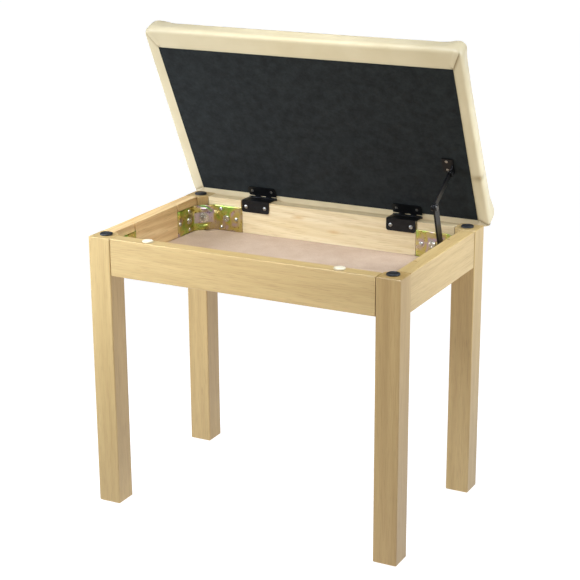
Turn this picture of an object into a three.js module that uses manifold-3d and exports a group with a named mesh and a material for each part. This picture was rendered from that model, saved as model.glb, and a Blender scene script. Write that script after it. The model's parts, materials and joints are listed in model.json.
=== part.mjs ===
// Storage piano bench: four square legs and four aprons drawn together by folded steel corner
// brackets, a hardboard floor for the music compartment, and an upholstered lid on two butt hinges
// with a folding stay.
// Millimetres, +Z up, +X along the length, front towards -Y. The lid is shown open.

import * as THREE from 'three';
import { mergeVertices } from 'three/addons/utils/BufferGeometryUtils.js';
import Module from 'manifold-3d';

const wasm = await Module();
wasm.setup();

// ---- driving dimensions -------------------------------------------------------------------------

const FRAME_LENGTH = 519;
const FRAME_DEPTH = 325;
const FRAME_HEIGHT = 441;
const FIT_GAP = 0.3;
const JOINT_GAP = 1;
const PANEL_CORNER_GAP = 0.6;

const LEG_WIDTH = 38;
const LEG_FLAT_CUT = 11;
const LEG_EDGE_RADIUS = 2;
const LEG_END_CHAMFER = 1;

const FOOT_PAD_RADIUS = 13;
const FOOT_PAD_HEIGHT = 1.6;

const APRON_HEIGHT = 59;
const APRON_THICKNESS = 22;
const APRON_EDGE_CHAMFER = 1;
const APRON_REVEAL = 1;
const REAR_APRON_SETBACK = 5;

const PANEL_THICKNESS = 3;
const PANEL_LEDGE = 8;
const PANEL_RAISE = 0.9;

const BUMPER_RADIUS = 10;
const BUMPER_HEIGHT = 3;
const BUMPER_SIDE_HEIGHT = 1.4;
const BUMPER_TOP_INSET = 2;
const BUMPER_INSET = 20;
const APRON_PAD_RADIUS = 8.5;
const APRON_PAD_HEIGHT = 2.4;
const APRON_PAD_SPACING = 320;
const APRON_PAD_INSET = 12.5;

const BRACKET_THICKNESS = 2;
const BRACKET_HEIGHT = 42;
const BRACKET_LEG_GAP = 7.9;
const BRACKET_REACH = 78;
const BRACKET_SIDE_SHORTER = 6;
const BRACKET_KERF_DEPTH = 6;
const BRACKET_FLOOR_GAP = 0.6;

const HANGER_BOLT_RADIUS = 3.9;
const HANGER_BOLT_IN_LEG = 22;
const HANGER_BOLT_FREE = 15;
const NUT_RADIUS = 6.5;
const NUT_FLANGE_RADIUS = 8.5;
const NUT_HEIGHT = 7;
const NUT_FLANGE_HEIGHT = 1.8;

const APRON_BOLT_RADIUS = 3;
const APRON_BOLT_LENGTH = 15;
const APRON_BOLT_HEAD_RADIUS = 6;
const APRON_BOLT_HEAD_HEIGHT = 3.2;
const APRON_BOLT_HEAD_SIDE = 1;
const APRON_BOLT_HEAD_CHAMFER = 1.6;
const SIDE_BOLT_FROM_BEND = 17;
const LONG_BOLT_FROM_BEND = 25;
const HEX_SOCKET_RADIUS = 2.3;
const HEX_SOCKET_DEPTH = 2;

const HINGE_WIDTH = 50;
const HINGE_SHEET = 1.4;
const HINGE_DROP = 20;
const HINGE_KNUCKLE_RADIUS = 3;
const HINGE_PIN_RADIUS = 1.3;
const HINGE_KNUCKLES = 5;
const HINGE_LID_LEAF = 21.5;
const HINGE_CLEARANCE = 0.7;
const HINGE_BRACKET_GAP = 0.7;
const HINGE_PLATE_SETBACK = 0.4;
const HINGE_FINGER_LAP = 0.1;
const LEAF_CORNER_RADIUS = 4;

const LID_OPEN_ANGLE = 63.5;
const LID_SIDE_OVERHANG = 6.5;
const LID_FRONT_SETBACK = 2;
const LID_REAR_OVERHANG = 4.5;
const LID_THICKNESS = 35.4;
const LID_CORNER_RADIUS = 16;
const LID_BULGE = 3;
const LID_REST_GAP = 3.6;
// The rounding of the lid's top edge: how far below the top, and how far in from the widest line.
const LID_TOP_ROUNDING = [
  { drop: 12, inset: 0 },
  { drop: 5, inset: 2.2 },
  { drop: 1.5, inset: 6 },
  { drop: 0, inset: 14 },
];
const COVER_SKIN = 1.2;
const COVER_HEM_INSET = 1.2;
const COVER_HEM_RISE = 1.5;
const COVER_HEM_SLACK = 0.2;
const COVER_BULGE_START = 9;
const COVER_BORDER = 25;
const COVER_FRONT_BORDER = 36;
const SEAT_BOARD_THICKNESS = 12;
const DUST_COVER_THICKNESS = 0.8;
const DUST_COVER_SIDE_BORDER = 18;
const DUST_COVER_FRONT_BORDER = 31.5;
const DUST_COVER_SIDE_SHIFT = 2;
const DUST_COVER_REAR_BORDER = 12;

const STAY_ARM_THICKNESS = 3;
const STAY_LOWER_WIDTH = 15;
const STAY_UPPER_WIDTH = 10;
const STAY_PLANE_GAP = 0.4;
const STAY_RIVET_RADIUS = 2.5;
const STAY_RIVET_HEAD_HEIGHT = 1.3;
const STAY_RIVET_HEAD_CHAMFER = 1;
const STAY_ELBOW_HEAD_RADIUS = 5;
const STAY_LID_HEAD_RADIUS = 4.2;
const STAY_BASE_HEAD_MARGIN = 2.2;
const STAY_DRILL_LENGTH = 20;
const STAY_LUG_MARGIN = 0.5;
const STAY_LUG_FLARE = 6;
const STAY_LUG_RADIUS = 4;
const STAY_BASE_SLACK = 2.4;
const STAY_BRACKET_SHEET = 2;
const STAY_BASE_FROM_PIN = { y: -86.2, z: -32.2 };
const STAY_ELBOW_FROM_PIN = { y: -115.2, z: 50.8 };
const STAY_LID_PIVOT_REACH = 104;
const STAY_LID_PIVOT_DROP = 9;
const STAY_FOOT_LENGTH = 28;
const STAY_FOOT_WIDTH = 18;
const STAY_BASE_HEIGHT = 18;
const STAY_BASE_PLATE = 30;
const STAY_BASE_OFFSET = 22;

const ROUND_SIDES = 24;
const BARREL_SIDES = 20;
const HEX_SIDES = 6;
const POST_CURVE_STEPS = 4;
const SECTION_CURVE_STEPS = 6;
const ARM_CURVE_STEPS = 8;
const SLAB_CURVE_STEPS = 5;
const SMALLEST_CORNER_RADIUS = 1;
const CUT_OVERRUN = 1;
const WELD_TOLERANCE = 1e-4;

// ---- sizes worked out from them -----------------------------------------------------------------

const halfLength = FRAME_LENGTH / 2;
const halfDepth = FRAME_DEPTH / 2;
const legInnerX = halfLength - LEG_WIDTH;
const legInnerY = halfDepth - LEG_WIDTH;
const legBottom = FOOT_PAD_HEIGHT + FIT_GAP;
const apronBottom = FRAME_HEIGHT - APRON_HEIGHT;
const sideInnerX = halfLength - APRON_REVEAL - APRON_THICKNESS;
const frontInnerY = halfDepth - APRON_REVEAL - APRON_THICKNESS;
const rearOuterY = halfDepth - REAR_APRON_SETBACK;
const rearInnerY = rearOuterY - APRON_THICKNESS;
const panelBottom = apronBottom + PANEL_RAISE;
const panelTop = panelBottom + PANEL_THICKNESS;
const ledgeTop = panelTop + FIT_GAP;
const bracketBottom = panelTop + BRACKET_FLOOR_GAP;
const bracketMiddle = bracketBottom + BRACKET_HEIGHT / 2;
const lidUnderside = FRAME_HEIGHT + LID_REST_GAP;
const lidLength = FRAME_LENGTH + 2 * LID_SIDE_OVERHANG;
const lidDepth = FRAME_DEPTH + LID_REAR_OVERHANG - LID_FRONT_SETBACK;
const pinY = rearOuterY + HINGE_CLEARANCE + HINGE_KNUCKLE_RADIUS;
const pinZ = lidUnderside - 2 * FIT_GAP - HINGE_KNUCKLE_RADIUS + FIT_GAP / 2;
const hingeAxis = new THREE.Vector3(0, pinY, pinZ);
const hingePlateEdge = -HINGE_KNUCKLE_RADIUS - HINGE_CLEARANCE - HINGE_PLATE_SETBACK;
const openAngle = THREE.MathUtils.degToRad(LID_OPEN_ANGLE);
const boltHeadTop = 2 * FIT_GAP + BRACKET_THICKNESS + APRON_BOLT_HEAD_HEIGHT;
const stayInset = boltHeadTop + 2 * FIT_GAP + STAY_RIVET_HEAD_HEIGHT;

// ---- finishes -----------------------------------------------------------------------------------

const finish = (color, roughness, metalness) => () =>
  new THREE.MeshStandardMaterial({ color, roughness, metalness });

const wood = finish(0xd8bf8e, 0.5, 0);
const paleWood = finish(0xe6cf9f, 0.6, 0);
const hardboard = finish(0xcdb196, 0.75, 0);
const zinc = finish(0xb3ac4b, 0.35, 0.9);
const brightSteel = finish(0xd4d2c4, 0.3, 0.9);
const blackSteel = finish(0x151412, 0.45, 0.6);
const rubber = finish(0x26272a, 0.6, 0);
const creamFoam = finish(0xf6ecd2, 0.8, 0);
const vinyl = finish(0xeadbb6, 0.45, 0);
const dustCloth = finish(0x2b2c2c, 0.95, 0);
const plywood = finish(0xd2b27c, 0.7, 0);
const foam = finish(0xe9e1a8, 0.95, 0);

// ---- small modelling helpers --------------------------------------------------------------------

function toSolid(geometry) {
  const bare = geometry.clone();
  bare.deleteAttribute('normal');
  bare.deleteAttribute('uv');
  const merged = mergeVertices(bare, WELD_TOLERANCE);
  return new wasm.Manifold(
    new wasm.Mesh({
      numProp: 3,
      vertProperties: new Float32Array(merged.attributes.position.array),
      triVerts: new Uint32Array(merged.index.array),
    }),
  );
}

function toGeometry(solid) {
  const mesh = solid.getMesh();
  const geometry = new THREE.BufferGeometry();
  geometry.setAttribute('position', new THREE.BufferAttribute(mesh.vertProperties, 3));
  geometry.setIndex(new THREE.BufferAttribute(mesh.triVerts, 1));
  geometry.computeVertexNormals();
  return geometry;
}

const join = (first, ...others) =>
  toGeometry(others.reduce((sum, other) => sum.add(toSolid(other)), toSolid(first)));
const cut = (body, ...tools) =>
  toGeometry(tools.reduce((rest, tool) => rest.subtract(toSolid(tool)), toSolid(body)));

function box(low, high) {
  const [x0, y0, z0] = low;
  const [x1, y1, z1] = high;
  const geometry = new THREE.BoxGeometry(x1 - x0, y1 - y0, z1 - z0);
  return geometry.translate((x0 + x1) / 2, (y0 + y1) / 2, (z0 + z1) / 2);
}

// A polygon whose corners are rounded by the radius given with each point.
function roundedShape(points) {
  const shape = new THREE.Shape();
  points.forEach(([x, y, radius = 0], i) => {
    const corner = new THREE.Vector2(x, y);
    const before = new THREE.Vector2(...points.at(i - 1).slice(0, 2));
    const after = new THREE.Vector2(...points[(i + 1) % points.length].slice(0, 2));
    const start = corner.clone().add(before.sub(corner).setLength(radius));
    const end = corner.clone().add(after.sub(corner).setLength(radius));
    if (i === 0) {
      shape.moveTo(start.x, start.y);
    } else {
      shape.lineTo(start.x, start.y);
    }
    if (radius > 0) {
      shape.quadraticCurveTo(corner.x, corner.y, end.x, end.y);
    }
  });
  shape.closePath();
  return shape;
}

function upright(shape, bottom, height, chamfer = 0) {
  const geometry = new THREE.ExtrudeGeometry(shape, {
    depth: height - 2 * chamfer,
    curveSegments: POST_CURVE_STEPS,
    bevelEnabled: chamfer > 0,
    bevelThickness: chamfer,
    bevelSize: chamfer,
    bevelOffset: -chamfer,
    bevelSegments: 1,
  });
  return geometry.translate(0, 0, bottom + chamfer);
}

// An outline drawn as (y, z) and drawn out along X.
function alongX(shape, x0, x1, curveSegments = SECTION_CURVE_STEPS) {
  const settings = { depth: x1 - x0, bevelEnabled: false, curveSegments };
  const geometry = new THREE.ExtrudeGeometry(shape, settings);
  const turn = new THREE.Matrix4().makeBasis(
    new THREE.Vector3(0, 1, 0),
    new THREE.Vector3(0, 0, 1),
    new THREE.Vector3(1, 0, 0),
  );
  return geometry.applyMatrix4(turn).translate(x0, 0, 0);
}

// The outline of a folded sheet: a path of bends, given its thickness on both sides.
function sheetShape(path, thickness) {
  const side = (sign) =>
    path.map(([x, y], i) => {
      const here = new THREE.Vector2(x, y);
      const directions = [];
      if (i > 0) {
        directions.push(here.clone().sub(new THREE.Vector2(...path[i - 1])).normalize());
      }
      if (i < path.length - 1) {
        directions.push(new THREE.Vector2(...path[i + 1]).sub(here).normalize());
      }
      const normals = directions.map((d) => new THREE.Vector2(-d.y, d.x));
      const miter = normals.reduce((sum, n) => sum.add(n.clone()), new THREE.Vector2()).normalize();
      const length = thickness / 2 / miter.dot(normals[0]);
      return here.add(miter.multiplyScalar(sign * length));
    });
  return new THREE.Shape([...side(1), ...side(-1).reverse()]);
}

// A turned piece: a closed (radius, height) profile spun round Z, then laid along a direction.
function turned(profile, centre, direction, sides = ROUND_SIDES) {
  const outline = profile.map(([radius, height]) => new THREE.Vector2(radius, height));
  const geometry = new THREE.LatheGeometry(outline, sides);
  const turn = new THREE.Quaternion().setFromUnitVectors(
    new THREE.Vector3(0, 1, 0),
    new THREE.Vector3(...direction).normalize(),
  );
  return geometry.applyQuaternion(turn).translate(...centre);
}

const rod = (radius, length, centre, direction, sides = ROUND_SIDES) =>
  turned([[0, 0], [radius, 0], [radius, length], [0, length]], centre, direction, sides);

function node(name, geometry, material, parent) {
  const mesh = new THREE.Mesh(geometry, material());
  mesh.name = name;
  parent.add(mesh);
  return mesh;
}

// ---- frame --------------------------------------------------------------------------------------

const CORNERS = [
  { name: 'front_left', sx: -1, sy: -1 },
  { name: 'front_right', sx: 1, sy: -1 },
  { name: 'rear_right', sx: 1, sy: 1 },
  { name: 'rear_left', sx: -1, sy: 1 },
];

const innerY = (sy) => (sy > 0 ? rearInnerY : frontInnerY);

// The folded bracket's bends, in a corner where both signs are positive.
function bracketPath(sy) {
  const faceX = sideInnerX - FIT_GAP - BRACKET_THICKNESS / 2;
  const faceY = innerY(sy) - FIT_GAP - BRACKET_THICKNESS / 2;
  const corner = faceX + faceY - legInnerX - legInnerY - LEG_FLAT_CUT;
  const cutBack = corner + Math.SQRT2 * (BRACKET_LEG_GAP + BRACKET_THICKNESS / 2);
  const sideEnd = faceY - BRACKET_REACH + BRACKET_SIDE_SHORTER;
  return [
    [sideInnerX + BRACKET_KERF_DEPTH, sideEnd],
    [faceX, sideEnd],
    [faceX, faceY - cutBack],
    [faceX - cutBack, faceY],
    [faceX - BRACKET_REACH, faceY],
    [faceX - BRACKET_REACH, innerY(sy) + BRACKET_KERF_DEPTH],
  ];
}

function hangerSeat(sx, sy) {
  const [, , bendA, bendB] = bracketPath(sy);
  const inward = new THREE.Vector3(-sx, -sy, 0).normalize();
  const x = (sx * (bendA[0] + bendB[0])) / 2;
  const y = (sy * (bendA[1] + bendB[1])) / 2;
  const plate = new THREE.Vector3(x, y, bracketMiddle);
  return { inward, plate };
}

function apronBoltSeats(sx, sy) {
  const [, , bendA, bendB] = bracketPath(sy);
  return [
    {
      name: 'side',
      seat: [sx * bendA[0], sy * (bendA[1] - SIDE_BOLT_FROM_BEND), bracketMiddle],
      inward: [-sx, 0, 0],
    },
    {
      name: 'long',
      seat: [sx * (bendB[0] - LONG_BOLT_FROM_BEND), sy * bendB[1], bracketMiddle],
      inward: [0, -sy, 0],
    },
  ];
}

function hangerHole(sx, sy) {
  const { inward, plate } = hangerSeat(sx, sy);
  const start = plate.clone().addScaledVector(inward, -HANGER_BOLT_IN_LEG - FIT_GAP);
  return rod(HANGER_BOLT_RADIUS + FIT_GAP, BRACKET_REACH, start.toArray(), inward.toArray());
}

function apronBoltHole({ seat, inward }) {
  const start = seat.map((value, i) => value - inward[i] * (APRON_BOLT_LENGTH + FIT_GAP));
  return rod(APRON_BOLT_RADIUS + FIT_GAP, APRON_BOLT_LENGTH + LEG_WIDTH, start, inward);
}

// The saw kerf that takes one end of a bracket, open at the apron's top.
function kerf(sx, sy, inSideApron) {
  const path = bracketPath(sy);
  const half = BRACKET_THICKNESS / 2 + FIT_GAP;
  const [x, y] = inSideApron ? path[0] : path.at(-1);
  const thin = (middle) => [middle - half, middle + half];
  const deep = (sign, face, end) => [sign * (face - CUT_OVERRUN), sign * (end + FIT_GAP)];
  const [xs, ys] = inSideApron
    ? [deep(sx, sideInnerX, x), thin(sy * y)]
    : [thin(sx * x), deep(sy, innerY(sy), y)];
  return box(
    [Math.min(...xs), Math.min(...ys), bracketBottom - FIT_GAP],
    [Math.max(...xs), Math.max(...ys), FRAME_HEIGHT + CUT_OVERRUN],
  );
}

function leg({ name, sx, sy }, parent) {
  const edge = LEG_EDGE_RADIUS;
  const [x0, x1, y0, y1] = [sx * legInnerX, sx * halfLength, sy * legInnerY, sy * halfDepth];
  const outline = [[x1, y1, edge], [x1, y0, edge], [x0, y0, edge], [x0, y1, edge]];
  const post = upright(roundedShape(outline), legBottom, FRAME_HEIGHT - legBottom, LEG_END_CHAMFER);
  // Beside the aprons the inner corner is planed to a flat that faces the bracket.
  const planed = LEG_FLAT_CUT + CUT_OVERRUN;
  const [clearX, clearY] = [x0 - sx * CUT_OVERRUN, y0 - sy * CUT_OVERRUN];
  const wedge = [[x0 + sx * planed, clearY], [clearX, y0 + sy * planed], [clearX, clearY]];
  const flat = upright(roundedShape(wedge), apronBottom, APRON_HEIGHT + CUT_OVERRUN);
  node(`leg_${name}`, cut(post, flat, hangerHole(sx, sy)), wood, parent);

  const padCentre = [(x0 + x1) / 2, (y0 + y1) / 2, 0];
  const pad = rod(FOOT_PAD_RADIUS, FOOT_PAD_HEIGHT, padCentre, [0, 0, 1]);
  node(`foot_pad_${name}`, pad, rubber, parent);

  const dome = [
    [0, 0],
    [BUMPER_RADIUS, 0],
    [BUMPER_RADIUS, BUMPER_SIDE_HEIGHT],
    [BUMPER_RADIUS - BUMPER_TOP_INSET, BUMPER_HEIGHT],
    [0, BUMPER_HEIGHT],
  ];
  const bumperX = sx * (halfLength - BUMPER_INSET);
  const bumperY = sy * (halfDepth - BUMPER_INSET);
  const bumper = turned(dome, [bumperX, bumperY, FRAME_HEIGHT + FIT_GAP], [0, 0, 1]);
  node(`lid_bumper_${name}`, bumper, rubber, parent);
}

// An apron's section, facing the sign's way, with a rebate for the panel along its lower inner edge.
function apronSection(sign, outerFace) {
  const eased = outerFace - APRON_EDGE_CHAMFER;
  const innerFace = outerFace - APRON_THICKNESS;
  const corners = [
    [outerFace, apronBottom + APRON_EDGE_CHAMFER],
    [eased, apronBottom],
    [innerFace + PANEL_LEDGE, apronBottom],
    [innerFace + PANEL_LEDGE, ledgeTop],
    [innerFace, ledgeTop],
    [innerFace, FRAME_HEIGHT],
    [eased, FRAME_HEIGHT],
    [outerFace, FRAME_HEIGHT - APRON_EDGE_CHAMFER],
  ];
  return new THREE.Shape(corners.map(([out, up]) => new THREE.Vector2(sign * out, up)));
}

function longApron(name, sy, outerY, parent) {
  const half = legInnerX - JOINT_GAP;
  const blank = alongX(apronSection(sy, outerY), -half, half);
  const ends = CORNERS.filter((corner) => corner.sy === sy);
  const kerfs = ends.map(({ sx }) => kerf(sx, sy, false));
  const bolts = ends.map(({ sx }) => apronBoltHole(apronBoltSeats(sx, sy)[1]));
  node(name, cut(blank, ...kerfs, ...bolts), wood, parent);
}

function sideApron(name, sx, parent) {
  const half = legInnerY - JOINT_GAP;
  const section = apronSection(sx, halfLength - APRON_REVEAL);
  const blank = alongX(section, -half, half).rotateZ(-Math.PI / 2);
  const ends = CORNERS.filter((corner) => corner.sx === sx);
  const kerfs = ends.map(({ sy }) => kerf(sx, sy, true));
  const bolts = ends.map(({ sy }) => apronBoltHole(apronBoltSeats(sx, sy)[0]));
  node(name, cut(blank, ...kerfs, ...bolts), wood, parent);
}

function cornerHardware({ name, sx, sy }, parent) {
  const path = bracketPath(sy).map(([x, y]) => [sx * x, sy * y]);
  const folded = upright(sheetShape(path, BRACKET_THICKNESS), bracketBottom, BRACKET_HEIGHT);
  const seats = apronBoltSeats(sx, sy);
  const holes = seats.map(apronBoltHole);
  node(`corner_bracket_${name}`, cut(folded, hangerHole(sx, sy), ...holes), zinc, parent);

  const { inward, plate } = hangerSeat(sx, sy);
  const face = BRACKET_THICKNESS / 2 + FIT_GAP;
  const boltStart = plate.clone().addScaledVector(inward, -HANGER_BOLT_IN_LEG);
  const boltLength = HANGER_BOLT_IN_LEG + HANGER_BOLT_FREE;
  const bolt = rod(HANGER_BOLT_RADIUS, boltLength, boltStart.toArray(), inward.toArray(), BARREL_SIDES);
  node(`hanger_bolt_${name}`, bolt, brightSteel, parent);

  const nutSeat = plate.clone().addScaledVector(inward, face).toArray();
  const inner = HANGER_BOLT_RADIUS + FIT_GAP;
  const washer = rod(NUT_FLANGE_RADIUS, NUT_FLANGE_HEIGHT, nutSeat, inward.toArray());
  const hexagon = rod(NUT_RADIUS, NUT_HEIGHT, nutSeat, inward.toArray(), HEX_SIDES);
  const core = rod(inner, 2 * NUT_HEIGHT, plate.toArray(), inward.toArray(), BARREL_SIDES);
  node(`hanger_nut_${name}`, cut(join(washer, hexagon), core), brightSteel, parent);

  for (const { name: run, seat, inward: out } of seats) {
    const start = seat.map((value, i) => value - out[i] * APRON_BOLT_LENGTH);
    const head = APRON_BOLT_LENGTH + face;
    const top = head + APRON_BOLT_HEAD_HEIGHT;
    const profile = [
      [0, 0],
      [APRON_BOLT_RADIUS, 0],
      [APRON_BOLT_RADIUS, head],
      [APRON_BOLT_HEAD_RADIUS, head],
      [APRON_BOLT_HEAD_RADIUS, head + APRON_BOLT_HEAD_SIDE],
      [APRON_BOLT_HEAD_RADIUS - APRON_BOLT_HEAD_CHAMFER, top],
      [0, top],
    ];
    const socketDepth = face + APRON_BOLT_HEAD_HEIGHT - HEX_SOCKET_DEPTH;
    const socketStart = seat.map((value, i) => value + out[i] * socketDepth);
    const socket = rod(HEX_SOCKET_RADIUS, 2 * HEX_SOCKET_DEPTH, socketStart, out, HEX_SIDES);
    const bolted = cut(turned(profile, start, out, BARREL_SIDES), socket);
    node(`apron_bolt_${name}_${run}`, bolted, brightSteel, parent);
  }
}

function bottomPanel(parent) {
  const x = sideInnerX + PANEL_LEDGE - FIT_GAP;
  const cornerSum = legInnerX + legInnerY - PANEL_CORNER_GAP;
  const yFront = frontInnerY + PANEL_LEDGE - FIT_GAP;
  const yRear = rearInnerY + PANEL_LEDGE - FIT_GAP;
  const outline = [
    [x, cornerSum - x],
    [cornerSum - yRear, yRear],
    [yRear - cornerSum, yRear],
    [-x, cornerSum - x],
    [-x, x - cornerSum],
    [yFront - cornerSum, -yFront],
    [cornerSum - yFront, -yFront],
    [x, x - cornerSum],
  ];
  const sheet = upright(roundedShape(outline), panelBottom, PANEL_THICKNESS);
  node('bottom_panel', sheet, hardboard, parent);
}

function apronPads(parent) {
  for (const [side, sx] of [['left', -1], ['right', 1]]) {
    const x = (sx * APRON_PAD_SPACING) / 2;
    const centre = [x, APRON_PAD_INSET - halfDepth, FRAME_HEIGHT + FIT_GAP];
    const pad = rod(APRON_PAD_RADIUS, APRON_PAD_HEIGHT, centre, [0, 0, 1]);
    node(`apron_pad_${side}`, pad, creamFoam, parent);
  }
}

// ---- hinges -------------------------------------------------------------------------------------

function knuckles(x, owner) {
  const pitch = HINGE_WIDTH / HINGE_KNUCKLES;
  const first = x - HINGE_WIDTH / 2;
  const owned = [...Array(HINGE_KNUCKLES).keys()].filter((i) => i % 2 === owner);
  return owned.map((i) => [first + i * pitch + FIT_GAP / 2, first + (i + 1) * pitch - FIT_GAP / 2]);
}

// Both leaves are drawn round the pin as origin, with the lid shut.
function hingeLeaf(plate, fingerZ, x, owner) {
  const inner = hingePlateEdge - HINGE_FINGER_LAP;
  const parts = knuckles(x, owner).flatMap(([x0, x1]) => [
    rod(HINGE_KNUCKLE_RADIUS, x1 - x0, [x0, 0, 0], [1, 0, 0], BARREL_SIDES),
    box([x0, inner, fingerZ[0]], [x1, 0, fingerZ[1]]),
  ]);
  const boreRadius = HINGE_PIN_RADIUS + FIT_GAP;
  const bore = rod(boreRadius, 2 * HINGE_WIDTH, [x - HINGE_WIDTH, 0, 0], [1, 0, 0], BARREL_SIDES);
  return cut(join(plate, ...parts), bore);
}

function hinges(frame, lid) {
  const frameTop = FRAME_HEIGHT + FIT_GAP - pinZ;
  const plateY = rearInnerY - FIT_GAP - pinY;
  const plateTop = lidUnderside - FIT_GAP / 2 - pinZ;
  const bracketEnd = bracketPath(1).at(-1)[0] - BRACKET_THICKNESS / 2;
  for (const [side, sx] of [['left', -1], ['right', 1]]) {
    const x = sx * (bracketEnd - HINGE_BRACKET_GAP - HINGE_WIDTH / 2);
    const [x0, x1] = [x - HINGE_WIDTH / 2, x + HINGE_WIDTH / 2];

    const flange = box([x0, plateY - HINGE_SHEET, frameTop], [x1, hingePlateEdge, frameTop + HINGE_SHEET]);
    const dropTop = frameTop + HINGE_SHEET;
    const drop = roundedPlate(x0, x1, dropTop - HINGE_DROP, dropTop, plateY - HINGE_SHEET, HINGE_SHEET);
    const lower = hingeLeaf(join(flange, drop), [frameTop, frameTop + HINGE_SHEET], x, 0);
    node(`hinge_frame_leaf_${side}`, lower.translate(0, pinY, pinZ), blackSteel, frame);

    const r = LEAF_CORNER_RADIUS;
    const [front, back] = [-HINGE_LID_LEAF, hingePlateEdge];
    const outline = [[x0, front, r], [x1, front, r], [x1, back], [x0, back]];
    const upperPlate = upright(roundedShape(outline), plateTop - HINGE_SHEET, HINGE_SHEET);
    const upper = hingeLeaf(upperPlate, [plateTop - HINGE_SHEET, plateTop - FIT_GAP / 2], x, 1);
    node(`hinge_lid_leaf_${side}`, upper, blackSteel, lid);

    const pin = rod(HINGE_PIN_RADIUS, HINGE_WIDTH, [x0, 0, 0], [1, 0, 0], BARREL_SIDES);
    node(`hinge_pin_${side}`, pin.translate(0, pinY, pinZ), blackSteel, frame);
  }
}

// An upright plate facing Y, with its two lower corners rounded.
function roundedPlate(x0, x1, z0, z1, y, thickness) {
  const r = LEAF_CORNER_RADIUS;
  const plate = upright(roundedShape([[x0, z0, r], [x1, z0, r], [x1, z1], [x0, z1]]), 0, thickness);
  return plate.rotateX(Math.PI / 2).translate(0, y + thickness, 0);
}

// ---- lid ----------------------------------------------------------------------------------------

// A slab with rounded corners built from stacked outlines, each given as [height, inset].
function slab(levels, length, rear, depth, corner) {
  const ring = ([z, inset]) => {
    const radius = Math.max(corner - inset, SMALLEST_CORNER_RADIUS);
    const [x, y0, y1] = [length / 2 - inset, rear - depth + inset, rear - inset];
    const outline = roundedShape([[x, y1, radius], [-x, y1, radius], [-x, y0, radius], [x, y0, radius]]);
    const points = outline.getPoints(SLAB_CURVE_STEPS).slice(0, -1);
    return points.map((point) => new THREE.Vector3(point.x, point.y, z));
  };
  const rings = levels.map(ring);
  const count = rings[0].length;
  const middleY = rear - depth / 2;
  const vertices = [...rings.flat()];
  const bottom = vertices.push(new THREE.Vector3(0, middleY, levels[0][0])) - 1;
  const top = vertices.push(new THREE.Vector3(0, middleY, levels.at(-1)[0])) - 1;
  const faces = [];
  for (let i = 0; i < count; i += 1) {
    const next = (i + 1) % count;
    faces.push(bottom, next, i);
    for (let k = 0; k < rings.length - 1; k += 1) {
      const [a, b] = [k * count, (k + 1) * count];
      faces.push(a + i, a + next, b + next, a + i, b + next, b + i);
    }
    const last = (rings.length - 1) * count;
    faces.push(top, last + i, last + next);
  }
  const geometry = new THREE.BufferGeometry().setFromPoints(vertices);
  geometry.setIndex(faces);
  geometry.computeVertexNormals();
  return geometry;
}

function lidBody(lid) {
  const under = lidUnderside - pinZ;
  const rear = halfDepth + LID_REAR_OVERHANG - pinY;
  const clothTop = under + DUST_COVER_THICKNESS;
  const skinBottom = clothTop + FIT_GAP;
  const boardBottom = skinBottom + COVER_SKIN + FIT_GAP;
  const boardTop = boardBottom + SEAT_BOARD_THICKNESS;
  const top = under + LID_THICKNESS;
  const fullWidth = skinBottom + COVER_BULGE_START;

  // The top edge's rounding, for a surface that lies this far below and inside the outer one.
  const rounding = (below, inside) =>
    LID_TOP_ROUNDING.map(({ drop, inset }) => [
      top - below - drop * (1 - below / LID_TOP_ROUNDING[0].drop),
      inset + inside - LID_BULGE,
    ]);
  const outer = [
    [skinBottom, COVER_HEM_INSET],
    [skinBottom + COVER_HEM_RISE, 0],
    [fullWidth, -LID_BULGE],
    ...rounding(0, 0),
  ];
  const innerInset = COVER_SKIN + COVER_HEM_SLACK;
  const inner = [
    [skinBottom + COVER_SKIN, innerInset],
    [fullWidth, COVER_SKIN - LID_BULGE],
    ...rounding(COVER_SKIN, COVER_SKIN),
  ];
  const size = [lidLength, rear, lidDepth, LID_CORNER_RADIUS];
  const front = rear - lidDepth;
  const borderX = lidLength / 2 - COVER_BORDER;
  const window = box(
    [-borderX, front + COVER_FRONT_BORDER, skinBottom - CUT_OVERRUN],
    [borderX, rear - COVER_BORDER, skinBottom + COVER_SKIN + CUT_OVERRUN],
  );
  node('seat_cover', cut(slab(outer, ...size), slab(inner, ...size), window), vinyl, lid);

  const boardInset = innerInset + FIT_GAP;
  const board = [[boardBottom, boardInset], [boardTop, boardInset]];
  node('seat_board', slab(board, ...size), plywood, lid);

  const foamInset = COVER_SKIN + 2 * FIT_GAP;
  const pad = [
    [boardTop + FIT_GAP, foamInset - LID_BULGE],
    ...rounding(COVER_SKIN + FIT_GAP, foamInset),
  ];
  node('seat_foam', slab(pad, ...size), foam, lid);

  const clothHalf = lidLength / 2 - DUST_COVER_SIDE_BORDER;
  const cloth = box(
    [DUST_COVER_SIDE_SHIFT - clothHalf, front + DUST_COVER_FRONT_BORDER, under],
    [DUST_COVER_SIDE_SHIFT + clothHalf, rear - DUST_COVER_REAR_BORDER, clothTop],
  );
  node('dust_cover', cloth, dustCloth, lid);
}

// ---- folding stay -------------------------------------------------------------------------------

// The stay's flat pieces lie in planes side by side, counted inwards from the right side apron.
function stayPlanes() {
  const outerFace = sideInnerX - stayInset;
  const bracket = [outerFace - STAY_BRACKET_SHEET, outerFace];
  const lower = [bracket[0] - STAY_PLANE_GAP - STAY_ARM_THICKNESS, bracket[0] - STAY_PLANE_GAP];
  const upper = [lower[0] - STAY_PLANE_GAP - STAY_ARM_THICKNESS, lower[0] - STAY_PLANE_GAP];
  return { bracket, lower, upper };
}

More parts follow.
